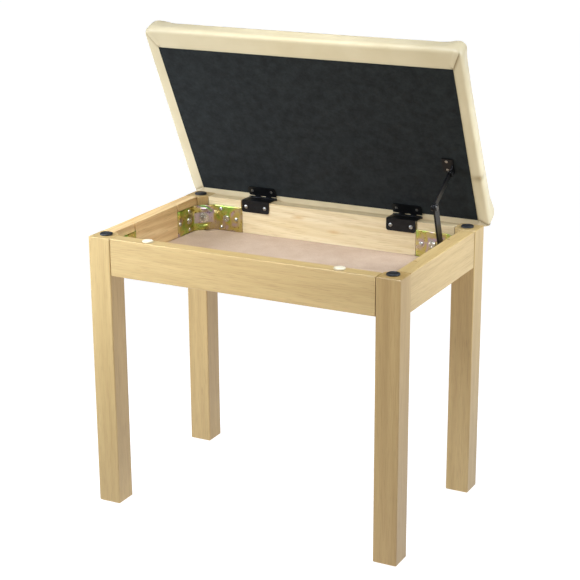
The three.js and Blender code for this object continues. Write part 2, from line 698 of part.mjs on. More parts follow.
// A flat bar with round ends and a hole at each end, from one (y, z) pivot to another.
function flatArm(from, to, width, plane, fromHole, toHole) {
  const length = Math.hypot(to.y - from.y, to.z - from.z);
  const angle = Math.atan2(to.z - from.z, to.y - from.y);
  const shape = new THREE.Shape();
  shape.absarc(0, 0, width / 2, Math.PI / 2, (3 * Math.PI) / 2, false);
  shape.absarc(length, 0, width / 2, -Math.PI / 2, Math.PI / 2, false);
  shape.closePath();
  const bar = alongX(shape, plane[0], plane[1], ARM_CURVE_STEPS);
  const drillX = (plane[0] + plane[1] - STAY_DRILL_LENGTH) / 2;
  const hole = (y, radius) =>
    rod(radius, STAY_DRILL_LENGTH, [drillX, y, 0], [1, 0, 0], BARREL_SIDES);
  const drilled = cut(bar, hole(0, fromHole), hole(length, toHole));
  return drilled.rotateX(angle).translate(0, from.y, from.z);
}

// A rivet along +X with a head beyond each end of the stack that it holds.
function rivet(x0, x1, headRadius, y, z) {
  const [low, high] = [-FIT_GAP, x1 - x0 + FIT_GAP];
  const height = STAY_RIVET_HEAD_HEIGHT;
  const flat = headRadius - STAY_RIVET_HEAD_CHAMFER;
  const profile = [
    [0, low - height],
    [flat, low - height],
    [headRadius, low - height / 2],
    [headRadius, low],
    [STAY_RIVET_RADIUS, low],
    [STAY_RIVET_RADIUS, high],
    [headRadius, high],
    [headRadius, high + height / 2],
    [flat, high + height],
    [0, high + height],
  ];
  return turned(profile, [x0, y, z], [1, 0, 0], BARREL_SIDES);
}

function stay(frame, upperArm, lowerArm, lid) {
  const { bracket, lower, upper } = stayPlanes();
  const base = { y: pinY + STAY_BASE_FROM_PIN.y, z: pinZ + STAY_BASE_FROM_PIN.z };
  const elbow = { y: pinY + STAY_ELBOW_FROM_PIN.y, z: pinZ + STAY_ELBOW_FROM_PIN.z };
  const under = lidUnderside - pinZ;
  const pivot = new THREE.Vector3(0, -STAY_LID_PIVOT_REACH, under - STAY_LID_PIVOT_DROP);
  const swung = pivot.clone().applyAxisAngle(new THREE.Vector3(1, 0, 0), -openAngle);
  const lidPivot = swung.add(hingeAxis);
  const hole = STAY_RIVET_RADIUS + FIT_GAP;

  const foot = sideInnerX - FIT_GAP - STAY_BRACKET_SHEET / 2;
  const leaf = (bracket[0] + bracket[1]) / 2;
  const end = STAY_LOWER_WIDTH / 2;
  const path = [
    [foot, base.y - STAY_BASE_OFFSET - STAY_BASE_PLATE],
    [foot, base.y - STAY_BASE_OFFSET],
    [leaf, base.y - STAY_BASE_OFFSET + stayInset],
    [leaf, base.y + end],
  ];
  const baseBottom = base.z - STAY_BASE_HEIGHT / 2;
  const jogged = upright(sheetShape(path, STAY_BRACKET_SHEET), baseBottom, STAY_BASE_HEIGHT);
  const drilled = (x, { y, z }) =>
    rod(hole, STAY_DRILL_LENGTH, [x - STAY_DRILL_LENGTH / 2, y, z], [1, 0, 0], BARREL_SIDES);
  node('stay_base_bracket', cut(jogged, drilled(leaf, base)), blackSteel, frame);
  const baseHead = STAY_RIVET_RADIUS + STAY_BASE_SLACK + STAY_BASE_HEAD_MARGIN;
  const baseRivet = rivet(lower[0], bracket[1], baseHead, base.y, base.z);
  node('stay_base_rivet', baseRivet, blackSteel, frame);

  const slackHole = STAY_RIVET_RADIUS + STAY_BASE_SLACK;
  const lowerBar = flatArm(base, elbow, STAY_LOWER_WIDTH, lower, slackHole, hole);
  node('stay_lower_arm', lowerBar, blackSteel, lowerArm);
  const upperBar = flatArm(elbow, lidPivot, STAY_UPPER_WIDTH, upper, hole, hole);
  node('stay_upper_arm', upperBar, blackSteel, upperArm);
  const elbowRivet = rivet(upper[0], lower[1], STAY_ELBOW_HEAD_RADIUS, elbow.y, elbow.z);
  node('stay_elbow_rivet', elbowRivet, brightSteel, upperArm);

  const lug = [lower[0], lower[0] + STAY_BRACKET_SHEET];
  const plate = under - FIT_GAP - STAY_BRACKET_SHEET;
  const front = pivot.y - STAY_FOOT_LENGTH + end;
  const back = pivot.y + STAY_UPPER_WIDTH / 2;
  const footPlate = box(
    [lug[1] - STAY_FOOT_WIDTH, front, plate],
    [lug[1], back, plate + STAY_BRACKET_SHEET],
  );
  const eye = STAY_UPPER_WIDTH / 2 + STAY_LUG_MARGIN;
  const rooted = plate + STAY_BRACKET_SHEET / 2;
  const lugShape = roundedShape([
    [pivot.y - eye - STAY_LUG_FLARE, rooted],
    [pivot.y - eye, pivot.z - eye, STAY_LUG_RADIUS],
    [pivot.y + eye, pivot.z - eye, STAY_LUG_RADIUS],
    [back, rooted],
  ]);
  const lugPlate = alongX(lugShape, lug[0], lug[1]);
  const lidBracket = cut(join(footPlate, lugPlate), drilled(lug[0], pivot));
  node('stay_lid_bracket', lidBracket, blackSteel, lid);
  const lidRivet = rivet(upper[0], lug[1], STAY_LID_HEAD_RADIUS, pivot.y, pivot.z);
  node('stay_lid_rivet', lidRivet, blackSteel, lid);
}

// ---- assembly -----------------------------------------------------------------------------------

const bench = new THREE.Group();
const frame = new THREE.Group();
const lid = new THREE.Group();
const stayUpper = new THREE.Group();
const stayLower = new THREE.Group();
bench.add(frame, lid, stayUpper, stayLower);

for (const corner of CORNERS) {
  leg(corner, frame);
  cornerHardware(corner, frame);
}
longApron('front_apron', -1, halfDepth - APRON_REVEAL, frame);
longApron('rear_apron', 1, rearOuterY, frame);
sideApron('left_apron', -1, frame);
sideApron('right_apron', 1, frame);
bottomPanel(frame);
apronPads(frame);
hinges(frame, lid);
lidBody(lid);
stay(frame, stayUpper, stayLower, lid);

lid.position.copy(hingeAxis);
lid.rotation.x = -openAngle;

// The origin is on the floor, in the middle of the open bench's footprint.
bench.updateMatrixWorld(true);
const footprint = new THREE.Box3().setFromObject(bench, true);
const middle = footprint.getCenter(new THREE.Vector3());
bench.position.set(-middle.x, -middle.y, 0);

export default bench;
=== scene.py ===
import json
import math

import bmesh
import bpy
from mathutils import Matrix, Vector
from mathutils.bvhtree import BVHTree


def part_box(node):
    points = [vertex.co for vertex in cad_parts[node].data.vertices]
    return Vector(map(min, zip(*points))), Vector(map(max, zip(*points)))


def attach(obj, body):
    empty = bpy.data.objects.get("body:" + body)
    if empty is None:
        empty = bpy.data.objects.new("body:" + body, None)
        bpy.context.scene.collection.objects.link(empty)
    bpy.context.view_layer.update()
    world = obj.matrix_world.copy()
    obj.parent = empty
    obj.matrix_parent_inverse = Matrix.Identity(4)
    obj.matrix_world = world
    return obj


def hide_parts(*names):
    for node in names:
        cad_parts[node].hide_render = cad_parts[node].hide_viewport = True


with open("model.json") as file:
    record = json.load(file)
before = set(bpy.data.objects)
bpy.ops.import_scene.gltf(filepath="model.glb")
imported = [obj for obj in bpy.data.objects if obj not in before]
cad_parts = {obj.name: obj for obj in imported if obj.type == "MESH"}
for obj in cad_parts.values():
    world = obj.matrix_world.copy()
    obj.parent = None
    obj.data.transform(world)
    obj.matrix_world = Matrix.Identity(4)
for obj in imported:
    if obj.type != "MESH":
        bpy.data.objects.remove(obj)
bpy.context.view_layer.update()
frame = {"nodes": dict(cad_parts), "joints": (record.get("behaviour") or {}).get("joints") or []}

MM = 0.001
joints = {joint["name"]: joint for joint in frame["joints"]}

# ---- The view ----
# A product view from the right front corner, a little above the open compartment, through a long lens.
# The bench stands with its four legs' centre as the point that the camera's place is counted from.
front_left_foot, rear_right_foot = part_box("leg_front_left")[0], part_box("leg_rear_right")[1]
legs_centre = (front_left_foot + rear_right_foot) / 2
legs_centre.z = 0
camera = bpy.data.objects.new("product_camera", bpy.data.cameras.new("product_camera"))
camera.data.sensor_width = 36
camera.data.lens = 97.46
camera.location = legs_centre + Vector((1.07854, -2.07147, 1.07922))
camera.rotation_euler = (1.26632, 0.00532, 0.47731)
bpy.context.scene.collection.objects.link(camera)
bpy.context.scene.camera = camera

# ---- Legs and aprons ----
# Light rubberwood, planed, sanded and sprayed with clear satin lacquer: fine straight fibres along each
# member, broad pale and tan growth bands, a soft sheen over them, and sawn end grain on the legs' tops.
# Each board is cut from its own plank, so no two share a figure, and some differ a little in tone. The
# front right leg's darker colours are painted shade, and the left apron's paler ones are partly painted
# light.


def linear(hex_colour):
    """An sRGB hex colour as the linear red, green, blue and alpha that a shader takes."""
    parts = [int(hex_colour[i : i + 2], 16) / 255 for i in (1, 3, 5)]
    return [p / 12.92 if p <= 0.04045 else ((p + 0.055) / 1.055) ** 2.4 for p in parts] + [1.0]


def add(tree, kind, settings=None, **links):
    """Adds a node. settings are its own properties, and links its inputs by name or number, as i0."""
    node = tree.nodes.new(kind)
    for name, value in (settings or {}).items():
        if name == "stops":
            ramp = node.color_ramp
            while len(ramp.elements) < len(value):
                ramp.elements.new(0.5)
            for element, (position, colour) in zip(ramp.elements, value):
                element.position = position
                element.color = linear(colour)
        else:
            setattr(node, name, value)
    for name, value in links.items():
        key = int(name[1:]) if name[0] == "i" and name[1:].isdigit() else name.replace("_", " ")
        if isinstance(value, bpy.types.NodeSocket):
            tree.links.new(value, node.inputs[key])
        else:
            node.inputs[key].default_value = value
    return node


def start_material(name, **plain):
    """A new material with its tree and shader. plain is what is the same all over the surface."""
    material = bpy.data.materials.new(name)
    material.use_nodes = True
    tree = material.node_tree
    shader = tree.nodes["Principled BSDF"]
    for socket, value in plain.items():
        shader.inputs[socket.replace("_", " ")].default_value = value
    return material, tree, shader


KNOT_WIDTH, KNOT_LENGTH = 4.5 * MM, 15 * MM


def hardwood(name, along, offset_mm, pale, tan, figure, knots=()):
    """Lacquered rubberwood with its fibres along axis 0, 1 or 2. A knot is its place in metres."""
    material, tree, shader = start_material(name, IOR=1.5, Coat_Weight=0.45, Coat_Roughness=0.35)
    place = add(tree, "ShaderNodeTexCoord").outputs["Object"]
    offset = [v * MM for v in offset_mm]
    shifted = add(tree, "ShaderNodeMapping", Vector=place, Location=offset).outputs[0]

    def stretched(across_mm, along_mm):
        scale = [1 / (across_mm * MM)] * 3
        scale[along] = 1 / (along_mm * MM)
        return add(tree, "ShaderNodeMapping", Vector=shifted, Scale=scale).outputs[0]

    # Growth bands 16 mm wide, rings about 13 mm apart in long arches, and fibres 1 mm wide.
    bands = add(
        tree, "ShaderNodeTexNoise", Vector=stretched(16, 420), Scale=1.0, Detail=2.0, Distortion=0.6
    )
    arches = add(
        tree,
        "ShaderNodeTexWave",
        {"wave_type": "BANDS", "bands_direction": "DIAGONAL"},
        Vector=stretched(16, 190),
        Scale=0.75,
        Distortion=7.0,
        Detail=2.0,
        Detail_Scale=0.7,
    )
    fibres = add(
        tree, "ShaderNodeTexNoise", Vector=stretched(1.0, 55), Scale=1.0, Detail=3.0, Roughness=0.6
    )
    pores = add(tree, "ShaderNodeTexNoise", Vector=stretched(1.3, 24), Scale=1.0, Detail=1.0)

    tone = add(tree, "ShaderNodeValToRGB", {"stops": [(0.28, tan), (0.72, pale)]}, Fac=bands.outputs[0])
    rings = add(
        tree, "ShaderNodeMapRange", Value=arches.outputs["Fac"], i1=0.1, i2=0.9, i3=0.0, i4=figure
    )
    ringed = add(
        tree,
        "ShaderNodeMix",
        {"data_type": "RGBA", "blend_type": "MULTIPLY"},
        i0=rings.outputs[0],
        i6=tone.outputs[0],
        i7=linear("#c79a58"),
    )
    threads = add(
        tree,
        "ShaderNodeValToRGB",
        {"stops": [(0.3, "#dccdb2"), (0.5, "#ffffff"), (0.75, "#fffaf0")]},
        Fac=fibres.outputs[0],
    )
    wood = add(
        tree,
        "ShaderNodeMix",
        {"data_type": "RGBA", "blend_type": "MULTIPLY"},
        i0=0.55,
        i6=ringed.outputs[2],
        i7=threads.outputs[0],
    )
    specks = add(tree, "ShaderNodeMapRange", Value=pores.outputs[0], i1=0.58, i2=0.72, i3=0.0, i4=0.34)
    surface = add(
        tree,
        "ShaderNodeMix",
        {"data_type": "RGBA"},
        i0=specks.outputs[0],
        i6=wood.outputs[2],
        i7=linear("#94733f"),
    ).outputs[2]
    for knot in knots:
        near = add(tree, "ShaderNodeMapping", Vector=place, Location=[-v for v in knot])
        squeezed = [1 / KNOT_WIDTH] * 3
        squeezed[along] = 1 / KNOT_LENGTH
        local = add(tree, "ShaderNodeMapping", Vector=near.outputs[0], Scale=squeezed)
        reach = add(tree, "ShaderNodeVectorMath", {"operation": "LENGTH"}, i0=local.outputs[0])
        core = add(
            tree, "ShaderNodeMapRange", Value=reach.outputs["Value"], i1=0.1, i2=1.0, i3=0.6, i4=0.0
        )
        surface = add(
            tree,
            "ShaderNodeMix",
            {"data_type": "RGBA"},
            i0=core.outputs[0],
            i6=surface,
            i7=linear("#b98a4e"),
        ).outputs[2]
    tree.links.new(surface, shader.inputs["Base Color"])
    gloss = add(tree, "ShaderNodeMapRange", Value=fibres.outputs[0], i1=0.3, i2=0.8, i3=0.52, i4=0.4)
    tree.links.new(gloss.outputs[0], shader.inputs["Roughness"])
    relief = add(tree, "ShaderNodeBump", Height=fibres.outputs[0], Strength=0.25, Distance=0.1 * MM)
    tree.links.new(relief.outputs[0], shader.inputs["Normal"])
    return material


def dress(node, material):
    """Gives one of the bench's plain pieces its material in every slot."""
    slots = frame["nodes"][node].data.materials
    for i in range(len(slots)):
        slots[i] = material


CORNERS = ("front_left", "front_right", "rear_right", "rear_left")
LEGS = (
    ("leg_front_left", (0, 0, 0), "#c5a76d", "#b6975d"),
    # This leg's darker colours are painted shade, standing in for a falloff of light that the lamps don't
    # give here.
    ("leg_front_right", (37, 61, 190), "#b9995f", "#ab8a51"),
    ("leg_rear_right", (74, 122, 380), "#c5a76d", "#b6975d"),
    ("leg_rear_left", (111, 183, 570), "#c1a268", "#b29259"),
)
for node, offset, pale, tan in LEGS:
    dress(node, hardwood(f"lacquered_rubberwood_{node}", 2, offset, pale, tan, 0.05))

rear_inner_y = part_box("rear_apron")[0].y
KNOTS = ((0.012, 0.407), (0.192, 0.419), (-0.052, 0.424))
rear_knots = [(x, rear_inner_y, z) for x, z in KNOTS]
APRONS = (
    ("front_apron", 0, (410, 20, 5), "#c7a970", "#b89a61", 0.07, ()),
    ("rear_apron", 0, (130, 90, 47), "#d8c59c", "#ccb382", 0.16, rear_knots),
    # The left apron's paler colours are partly painted light, brightening its inner face where the lamps
    # leave it dim.
    ("left_apron", 1, (15, 260, 83), "#eed09a", "#e0ba7c", 0.3, ()),
    ("right_apron", 1, (77, 510, 29), "#c7a970", "#b89a61", 0.07, ()),
)
for node, along, offset, pale, tan, figure, knots in APRONS:
    dress(node, hardwood(f"lacquered_rubberwood_{node}", along, offset, pale, tan, figure, knots))

# ---- Foot pads and lid bumpers ----
# Pads of black rubber, moulded: a flat disc is nailed under each foot, and a dished button sits on
# each leg's top, where the lid comes down. Its rounded rim catches a thin ring of light.


def moulded_rubber(name, colour, dusty, sheen):
    """Moulded rubber: dark, a little dusty, with a fine matt texture from the mould."""
    material, tree, shader = start_material(name, IOR=1.5, Sheen_Weight=sheen)
    place = add(tree, "ShaderNodeTexCoord").outputs["Object"]
    dust = add(tree, "ShaderNodeTexNoise", Vector=place, Scale=1 / (6 * MM), Detail=4.0)
    pale = add(tree, "ShaderNodeMapRange", Value=dust.outputs[0], i1=0.5, i2=0.8, i3=0.0, i4=0.25)
    tint = add(
        tree,
        "ShaderNodeMix",
        {"data_type": "RGBA"},
        i0=pale.outputs[0],
        i6=linear(colour),
        i7=linear(dusty),
    )
    tree.links.new(tint.outputs[2], shader.inputs["Base Color"])
    gloss = add(tree, "ShaderNodeMapRange", Value=dust.outputs[0], i1=0.3, i2=0.7, i3=0.38, i4=0.6)
    tree.links.new(gloss.outputs[0], shader.inputs["Roughness"])
    grit = add(tree, "ShaderNodeTexNoise", Vector=place, Scale=1 / (0.5 * MM), Detail=1.0)
    relief = add(tree, "ShaderNodeBump", Height=grit.outputs[0], Strength=0.2, Distance=0.05 * MM)
    tree.links.new(relief.outputs[0], shader.inputs["Normal"])
    return material


def make_piece(name, mesh, material, body, replaced=()):
    """A finished mesh as a piece with one material, which rides on a body and stands for CAD nodes."""
    mesh.materials.clear()
    mesh.materials.append(material)
    piece = bpy.data.objects.new(name, mesh)
    bpy.context.scene.collection.objects.link(piece)
    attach(piece, body)
    if replaced:
        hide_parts(*replaced)
    return piece


def turn_profile(profile_mm, centre, sides=48):
    """A closed (radius, height) profile turned round an upright axis that stands on centre."""
    built = bmesh.new()
    rings = []
    for radius, height in profile_mm:
        if radius == 0:
            rings.append([built.verts.new(centre + Vector((0, 0, height * MM)))])
            continue
        ring = []
        for i in range(sides):
            a = 2 * math.pi * i / sides
            spoke = Vector((radius * math.cos(a), radius * math.sin(a), height))
            ring.append(built.verts.new(centre + spoke * MM))
        rings.append(ring)
    for low, high in zip(rings, rings[1:]):
        for i in range(sides):
            j = (i + 1) % sides
            loop = [low[i % len(low)], low[j % len(low)], high[j % len(high)], high[i % len(high)]]
            corners = list(dict.fromkeys(loop))
            if len(corners) > 2:
                built.faces.new(corners)
    bmesh.ops.recalc_face_normals(built, faces=built.faces)
    mesh = bpy.data.meshes.new("turned")
    built.to_mesh(mesh)
    built.free()
    mesh.shade_smooth()
    mesh.set_sharp_from_angle(angle=math.radians(40))
    return mesh


foot_rubber = moulded_rubber("moulded_rubber_foot_pad", "#26272a", "#8c8a86", 0.1)
bumper_rubber = moulded_rubber("moulded_rubber_lid_bumper", "#0d0d0d", "#3c3936", 0.03)
for corner in CORNERS:
    dress(f"foot_pad_{corner}", foot_rubber)
    low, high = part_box(f"lid_bumper_{corner}")
    radius, height = (high.x - low.x) / 2 / MM, (high.z - low.z) / MM
    button = [
        (0, 0),
        (radius - 0.6, 0),
        (radius, 0.5),
        (radius, height * 0.5),
        (radius - 0.6, height * 0.8),
        (radius - 1.6, height * 0.95),
        (radius - 2.6, height * 0.8),
        (radius - 3.2, height * 0.62),
        (radius - 5.5, height * 0.78),
        (radius - 8, height * 0.86),
        (0, height * 0.88),
    ]
    seat = Vector(((low.x + high.x) / 2, (low.y + high.y) / 2, low.z))
    bumper = turn_profile(button, seat)
    replaced = [f"lid_bumper_{corner}"]
    make_piece(f"rubber_bumper_{corner}", bumper, bumper_rubber, "frame", replaced)

# ---- Cream pads on the front apron ----
# Two thin self-adhesive cushions of cream foam rubber stop the lid's front edge from knocking on the
# apron. They are punched from sheet, so the edge is cut square and only the top is a little soft.
cream_pad = moulded_rubber("cream_foam_rubber_pad", "#dccfae", "#c9bb9a", 0.1)
for side in ("left", "right"):
    low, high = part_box(f"apron_pad_{side}")
    radius, height = (high.x - low.x) / 2 / MM, (high.z - low.z) / MM
    cushion = [
        (0, 0),
        (radius - 0.4, 0),
        (radius, 0.3),
        (radius, height * 0.6),
        (radius - 0.5, height * 0.85),
        (radius - 1.6, height),
        (0, height),
    ]
    seat = Vector(((low.x + high.x) / 2, (low.y + high.y) / 2, low.z))
    pad = turn_profile(cushion, seat)
    make_piece(f"cream_pad_{side}", pad, cream_pad, "frame", [f"apron_pad_{side}"])

# ---- Compartment floor ----
# A 3 mm sheet of hardboard, pressed from wood fibre and left bare: pinkish brown, smooth on the face that
# shows, with short felted fibres, a faint mottle from the press and darker specks of bark.
hardboard, tree, shader = start_material("pressed_hardboard", IOR=1.45)
place = add(tree, "ShaderNodeTexCoord").outputs["Object"]
mottle = add(tree, "ShaderNodeTexNoise", Vector=place, Scale=1 / (28 * MM), Detail=4.0, Roughness=0.6)
felt = add(tree, "ShaderNodeTexNoise", Vector=place, Scale=1 / (1.6 * MM), Detail=3.0, Distortion=1.5)
browns = {"stops": [(0.3, "#a99077"), (0.7, "#b59d84")]}
base = add(tree, "ShaderNodeValToRGB", browns, Fac=mottle.outputs[0])
felted = {"stops": [(0.3, "#cdbba8"), (0.6, "#ffffff")]}
fuzz = add(tree, "ShaderNodeValToRGB", felted, Fac=felt.outputs[0])
board = add(
    tree,
    "ShaderNodeMix",
    {"data_type": "RGBA", "blend_type": "MULTIPLY"},
    i0=0.5,
    i6=base.outputs[0],
    i7=fuzz.outputs[0],
)
tree.links.new(board.outputs[2], shader.inputs["Base Color"])
rough = add(tree, "ShaderNodeMapRange", Value=felt.outputs[0], i1=0.3, i2=0.7, i3=0.6, i4=0.75)
tree.links.new(rough.outputs[0], shader.inputs["Roughness"])
relief = add(tree, "ShaderNodeBump", Height=felt.outputs[0], Strength=0.3, Distance=0.08 * MM)
tree.links.new(relief.outputs[0], shader.inputs["Normal"])
dress("bottom_panel", hardboard)

# ---- Corner brackets ----
# Folded from 2 mm steel strip: a plate across the corner that the leg's bolt pulls on, two arms along
# the aprons and ends hooked into saw kerfs. The plate has a pressed band across it and a lip over and
# under the bolt. Yellow zinc passivation makes it olive gold, shot with green, violet and pink.
SHEET = 2.0 * MM
LEG_FLAT = 11 * MM
LEG_GAP = 7.9 * MM
WOOD_GAP = 0.3 * MM
BEND_RADIUS = 3.0 * MM
GRID = 1.4 * MM
BAND_HALF, BAND_RISE = 8.5 * MM, 0.9 * MM
LIP_HEIGHT, LIP_HALF, LIP_THICK, LIP_RISE = 14.5 * MM, 7.5 * MM, 1.6 * MM, 1.8 * MM
PRESSED_SLOPE, LIP_END_SLOPE = 1.6 * MM, 2 * MM
PLATE_SHARE, PLATE_SLOPE = 0.66, 3 * MM
BEND_STEPS = 4
BAND_TINT = 0.75

yellow_zinc, tree, shader = start_material("yellow_zinc_passivated_steel", Metallic=1.0)
place = add(tree, "ShaderNodeTexCoord").outputs["Object"]
film = add(tree, "ShaderNodeTexNoise", Vector=place, Scale=1 / (26 * MM), Detail=1.5, Distortion=0.9)
hues = [
    (0.3, "#8fc24a"),
    (0.4, "#b4c765"),
    (0.5, "#cdbf68"),
    (0.58, "#c9b886"),
    (0.66, "#c2abc0"),
    (0.74, "#9cc47c"),
]
colour = add(tree, "ShaderNodeValToRGB", {"stops": hues}, Fac=film.outputs[0])
pressed = add(tree, "ShaderNodeAttribute", {"attribute_name": "pressed"})
banded = add(
    tree,
    "ShaderNodeMix",
    {"data_type": "RGBA"},
    i0=pressed.outputs["Fac"],
    i6=colour.outputs[0],
    i7=linear("#c9bdd2"),
)
tree.links.new(banded.outputs[2], shader.inputs["Base Color"])
smear = add(tree, "ShaderNodeTexNoise", Vector=place, Scale=1 / (4 * MM), Detail=3.0)
rough = add(tree, "ShaderNodeMapRange", Value=smear.outputs[0], i1=0.3, i2=0.7, i3=0.24, i4=0.42)
tree.links.new(rough.outputs[0], shader.inputs["Roughness"])


def smooth_step(value, edge, soft):
    """1 inside the edge, 0 outside it, with a soft slope between."""
    t = min(max((edge - abs(value)) / soft + 0.5, 0), 1)
    return t * t * (3 - 2 * t)


def rounded_path(points, radius):
    """A bent line with its corners rounded, as points about GRID apart."""
    corners = [Vector(p) for p in points]
    line = [corners[0]]
    for before, corner, after in zip(corners, corners[1:], corners[2:]):
        start = corner + (before - corner).normalized() * radius
        end = corner + (after - corner).normalized() * radius
        for step in range(BEND_STEPS + 1):
            t = step / BEND_STEPS
            line.append(start * (1 - t) ** 2 + corner * 2 * t * (1 - t) + end * t * t)
    line.append(corners[-1])
    walked = [line[0]]
    for a, b in zip(line, line[1:]):
        pieces = max(1, math.ceil((b - a).length / GRID))
        walked += [a.lerp(b, k / pieces) for k in range(1, pieces + 1)]
    return walked


def bracket_corner(corner):
    """The signs, face planes and end planes of a bracket, and the middle of its corner plate."""
    sx = 1 if "right" in corner else -1
    sy = 1 if "rear" in corner else -1
    low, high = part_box(f"corner_bracket_{corner}")
    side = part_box("right_apron" if sx > 0 else "left_apron")
    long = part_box("rear_apron" if sy > 0 else "front_apron")
    face_x = (side[0].x if sx > 0 else side[1].x) - sx * (WOOD_GAP + SHEET / 2)
    face_y = (long[0].y if sy > 0 else long[1].y) - sy * (WOOD_GAP + SHEET / 2)
    hook_x, hook_y = (high.x if sx > 0 else low.x), (high.y if sy > 0 else low.y)
    end_x = (low.x if sx > 0 else high.x) + sx * SHEET / 2
    end_y = (low.y if sy > 0 else high.y) + sy * SHEET / 2
    leg_low, leg_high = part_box(f"leg_{corner}")
    leg_x = (leg_low if sx > 0 else leg_high).x
    leg_y = (leg_low if sy > 0 else leg_high).y
    leg_reach = leg_x * sx + leg_y * sy + LEG_FLAT
    cut = face_x * sx + face_y * sy - leg_reach + math.sqrt(2) * (LEG_GAP + SHEET / 2)
    middle = Vector((face_x - sx * cut / 2, face_y - sy * cut / 2, (low.z + high.z) / 2))
    path = [
        (hook_x, end_y),
        (face_x, end_y),
        (face_x, face_y - sy * cut),
        (face_x - sx * cut, face_y),
        (end_x, face_y),
        (end_x, hook_y),
    ]
    return {
        "sx": sx,
        "sy": sy,
        "path": path,
        "middle": middle,
        "low": low.z,
        "high": high.z,
        "cut": cut,
    }


for corner in CORNERS:
    place = bracket_corner(corner)
    inward = Vector((-place["sx"], -place["sy"], 0)).normalized()
    across = Vector((-inward.y, inward.x, 0))
    rows = round((place["high"] - place["low"]) / GRID)
    built = bmesh.new()
    pressed = built.verts.layers.float.new("pressed")
    grid = []
    for point in rounded_path(place["path"], BEND_RADIUS):
        column = []
        flat_point = Vector((point.x, point.y, 0))
        flat_middle = Vector((place["middle"].x, place["middle"].y, 0))
        along = (flat_point - flat_middle).dot(across)
        on_plate = smooth_step(along, place["cut"] * PLATE_SHARE, PLATE_SLOPE)
        for row in range(rows + 1):
            z = place["low"] + (place["high"] - place["low"]) * row / rows
            up = z - place["middle"].z
            band = BAND_RISE * smooth_step(up, BAND_HALF, PRESSED_SLOPE)
            across_lip = smooth_step(abs(up) - LIP_HEIGHT, LIP_THICK, PRESSED_SLOPE)
            lip = LIP_RISE * across_lip * smooth_step(along, LIP_HALF, LIP_END_SLOPE)
            raised = inward * on_plate * (band + lip)
            column.append(built.verts.new(Vector((point.x, point.y, z)) + raised))
            column[-1][pressed] = BAND_TINT * on_plate * band / BAND_RISE
        grid.append(column)
    for a, b in zip(grid, grid[1:]):
        for row in range(rows):
            built.faces.new((a[row], b[row], b[row + 1], a[row + 1]))
    bmesh.ops.recalc_face_normals(built, faces=built.faces)
    mesh = bpy.data.meshes.new(f"bracket_{corner}")
    built.to_mesh(mesh)
    built.free()
    mesh.shade_smooth()
    strip = bpy.data.objects.new("strip", mesh)
    bpy.context.scene.collection.objects.link(strip)
    wall = strip.modifiers.new("sheet", "SOLIDIFY")
    wall.thickness = SHEET
    wall.offset = 0
    solid = bpy.data.meshes.new_from_object(strip.evaluated_get(bpy.context.evaluated_depsgraph_get()))
    bpy.data.objects.remove(strip)
    replaced = [f"corner_bracket_{corner}"]
    make_piece(f"pressed_bracket_{corner}", solid, yellow_zinc, "frame", replaced)

# ---- Bolts, nuts and screws ----
# Steel hardware, cold headed and bright zinc plated: pale, glossy, and greyer where tools have
# rubbed. A hanger bolt and flanged nut pull each leg in, socket bolts hold the arms, and small
# pan-head wood screws with a cross recess are driven round them.


def plated_steel(name, colour, worn, shine):
    """Zinc-plated steel hardware with a slightly uneven brightness."""
    material, tree, shader = start_material(name, Metallic=1.0)
    place = add(tree, "ShaderNodeTexCoord").outputs["Object"]
    cloud = add(tree, "ShaderNodeTexNoise", Vector=place, Scale=1 / (3 * MM), Detail=3.0)
    stops = {"stops": [(0.35, worn), (0.65, colour)]}
    tint = add(tree, "ShaderNodeValToRGB", stops, Fac=cloud.outputs[0])
    tree.links.new(tint.outputs[0], shader.inputs["Base Color"])
    dull = shine + 0.14
    rough = add(tree, "ShaderNodeMapRange", Value=cloud.outputs[0], i1=0.3, i2=0.7, i3=dull, i4=shine)
    tree.links.new(rough.outputs[0], shader.inputs["Roughness"])
    return material


bright_zinc = plated_steel("bright_zinc_plated_steel", "#e9e6da", "#b9b6a8", 0.22)
for corner in CORNERS:
    for node in ("hanger_bolt", "hanger_nut"):
        dress(f"{node}_{corner}", bright_zinc)
    for run in ("side", "long"):
        dress(f"apron_bolt_{corner}_{run}", bright_zinc)

screws = bpy.data.node_groups.new("cross_recess_screws", "GeometryNodeTree")
screws.interface.new_socket("Geometry", in_out="INPUT", socket_type="NodeSocketGeometry")
SCREW_INPUTS = (
    ("Head diameter", "NodeSocketFloat", 7 * MM),
    ("Head height", "NodeSocketFloat", 2 * MM),
    ("Recess width", "NodeSocketFloat", 1.1 * MM),
    ("Seed", "NodeSocketInt", 3),
    ("Material", "NodeSocketMaterial", None),
)
for title, kind, value in SCREW_INPUTS:
    socket = screws.interface.new_socket(title, in_out="INPUT", socket_type=kind)
    if value is not None:
        socket.default_value = value
screws.interface.new_socket("Geometry", in_out="OUTPUT", socket_type="NodeSocketGeometry")
given = add(screws, "NodeGroupInput").outputs
ball = add(screws, "GeometryNodeMeshUVSphere", Segments=16, Rings=8, Radius=0.5)
height = add(screws, "ShaderNodeMath", {"operation": "MULTIPLY"}, i0=given["Head height"], i1=2.0)
wide = given["Head diameter"]
scale = add(screws, "ShaderNodeCombineXYZ", X=wide, Y=wide, Z=height.outputs[0])
head = add(screws, "GeometryNodeTransform", Geometry=ball.outputs["Mesh"], Scale=scale.outputs[0])
RECESS_SHARE = 0.58
reach = add(screws, "ShaderNodeMath", {"operation": "MULTIPLY"}, i0=wide, i1=RECESS_SHARE)
slot_length, slot_width = reach.outputs[0], given["Recess width"]
bars = []
for x, y in ((slot_length, slot_width), (slot_width, slot_length)):
    extent = add(screws, "ShaderNodeCombineXYZ", Z=given["Head height"], X=x, Y=y)
    bars.append(add(screws, "GeometryNodeMeshCube", Size=extent.outputs[0]))
lift = add(screws, "ShaderNodeCombineXYZ", Z=given["Head height"])
raised = lift.outputs[0]
cutters = [
    add(screws, "GeometryNodeTransform", Geometry=bar.outputs["Mesh"], Translation=raised)
    for bar in bars
]
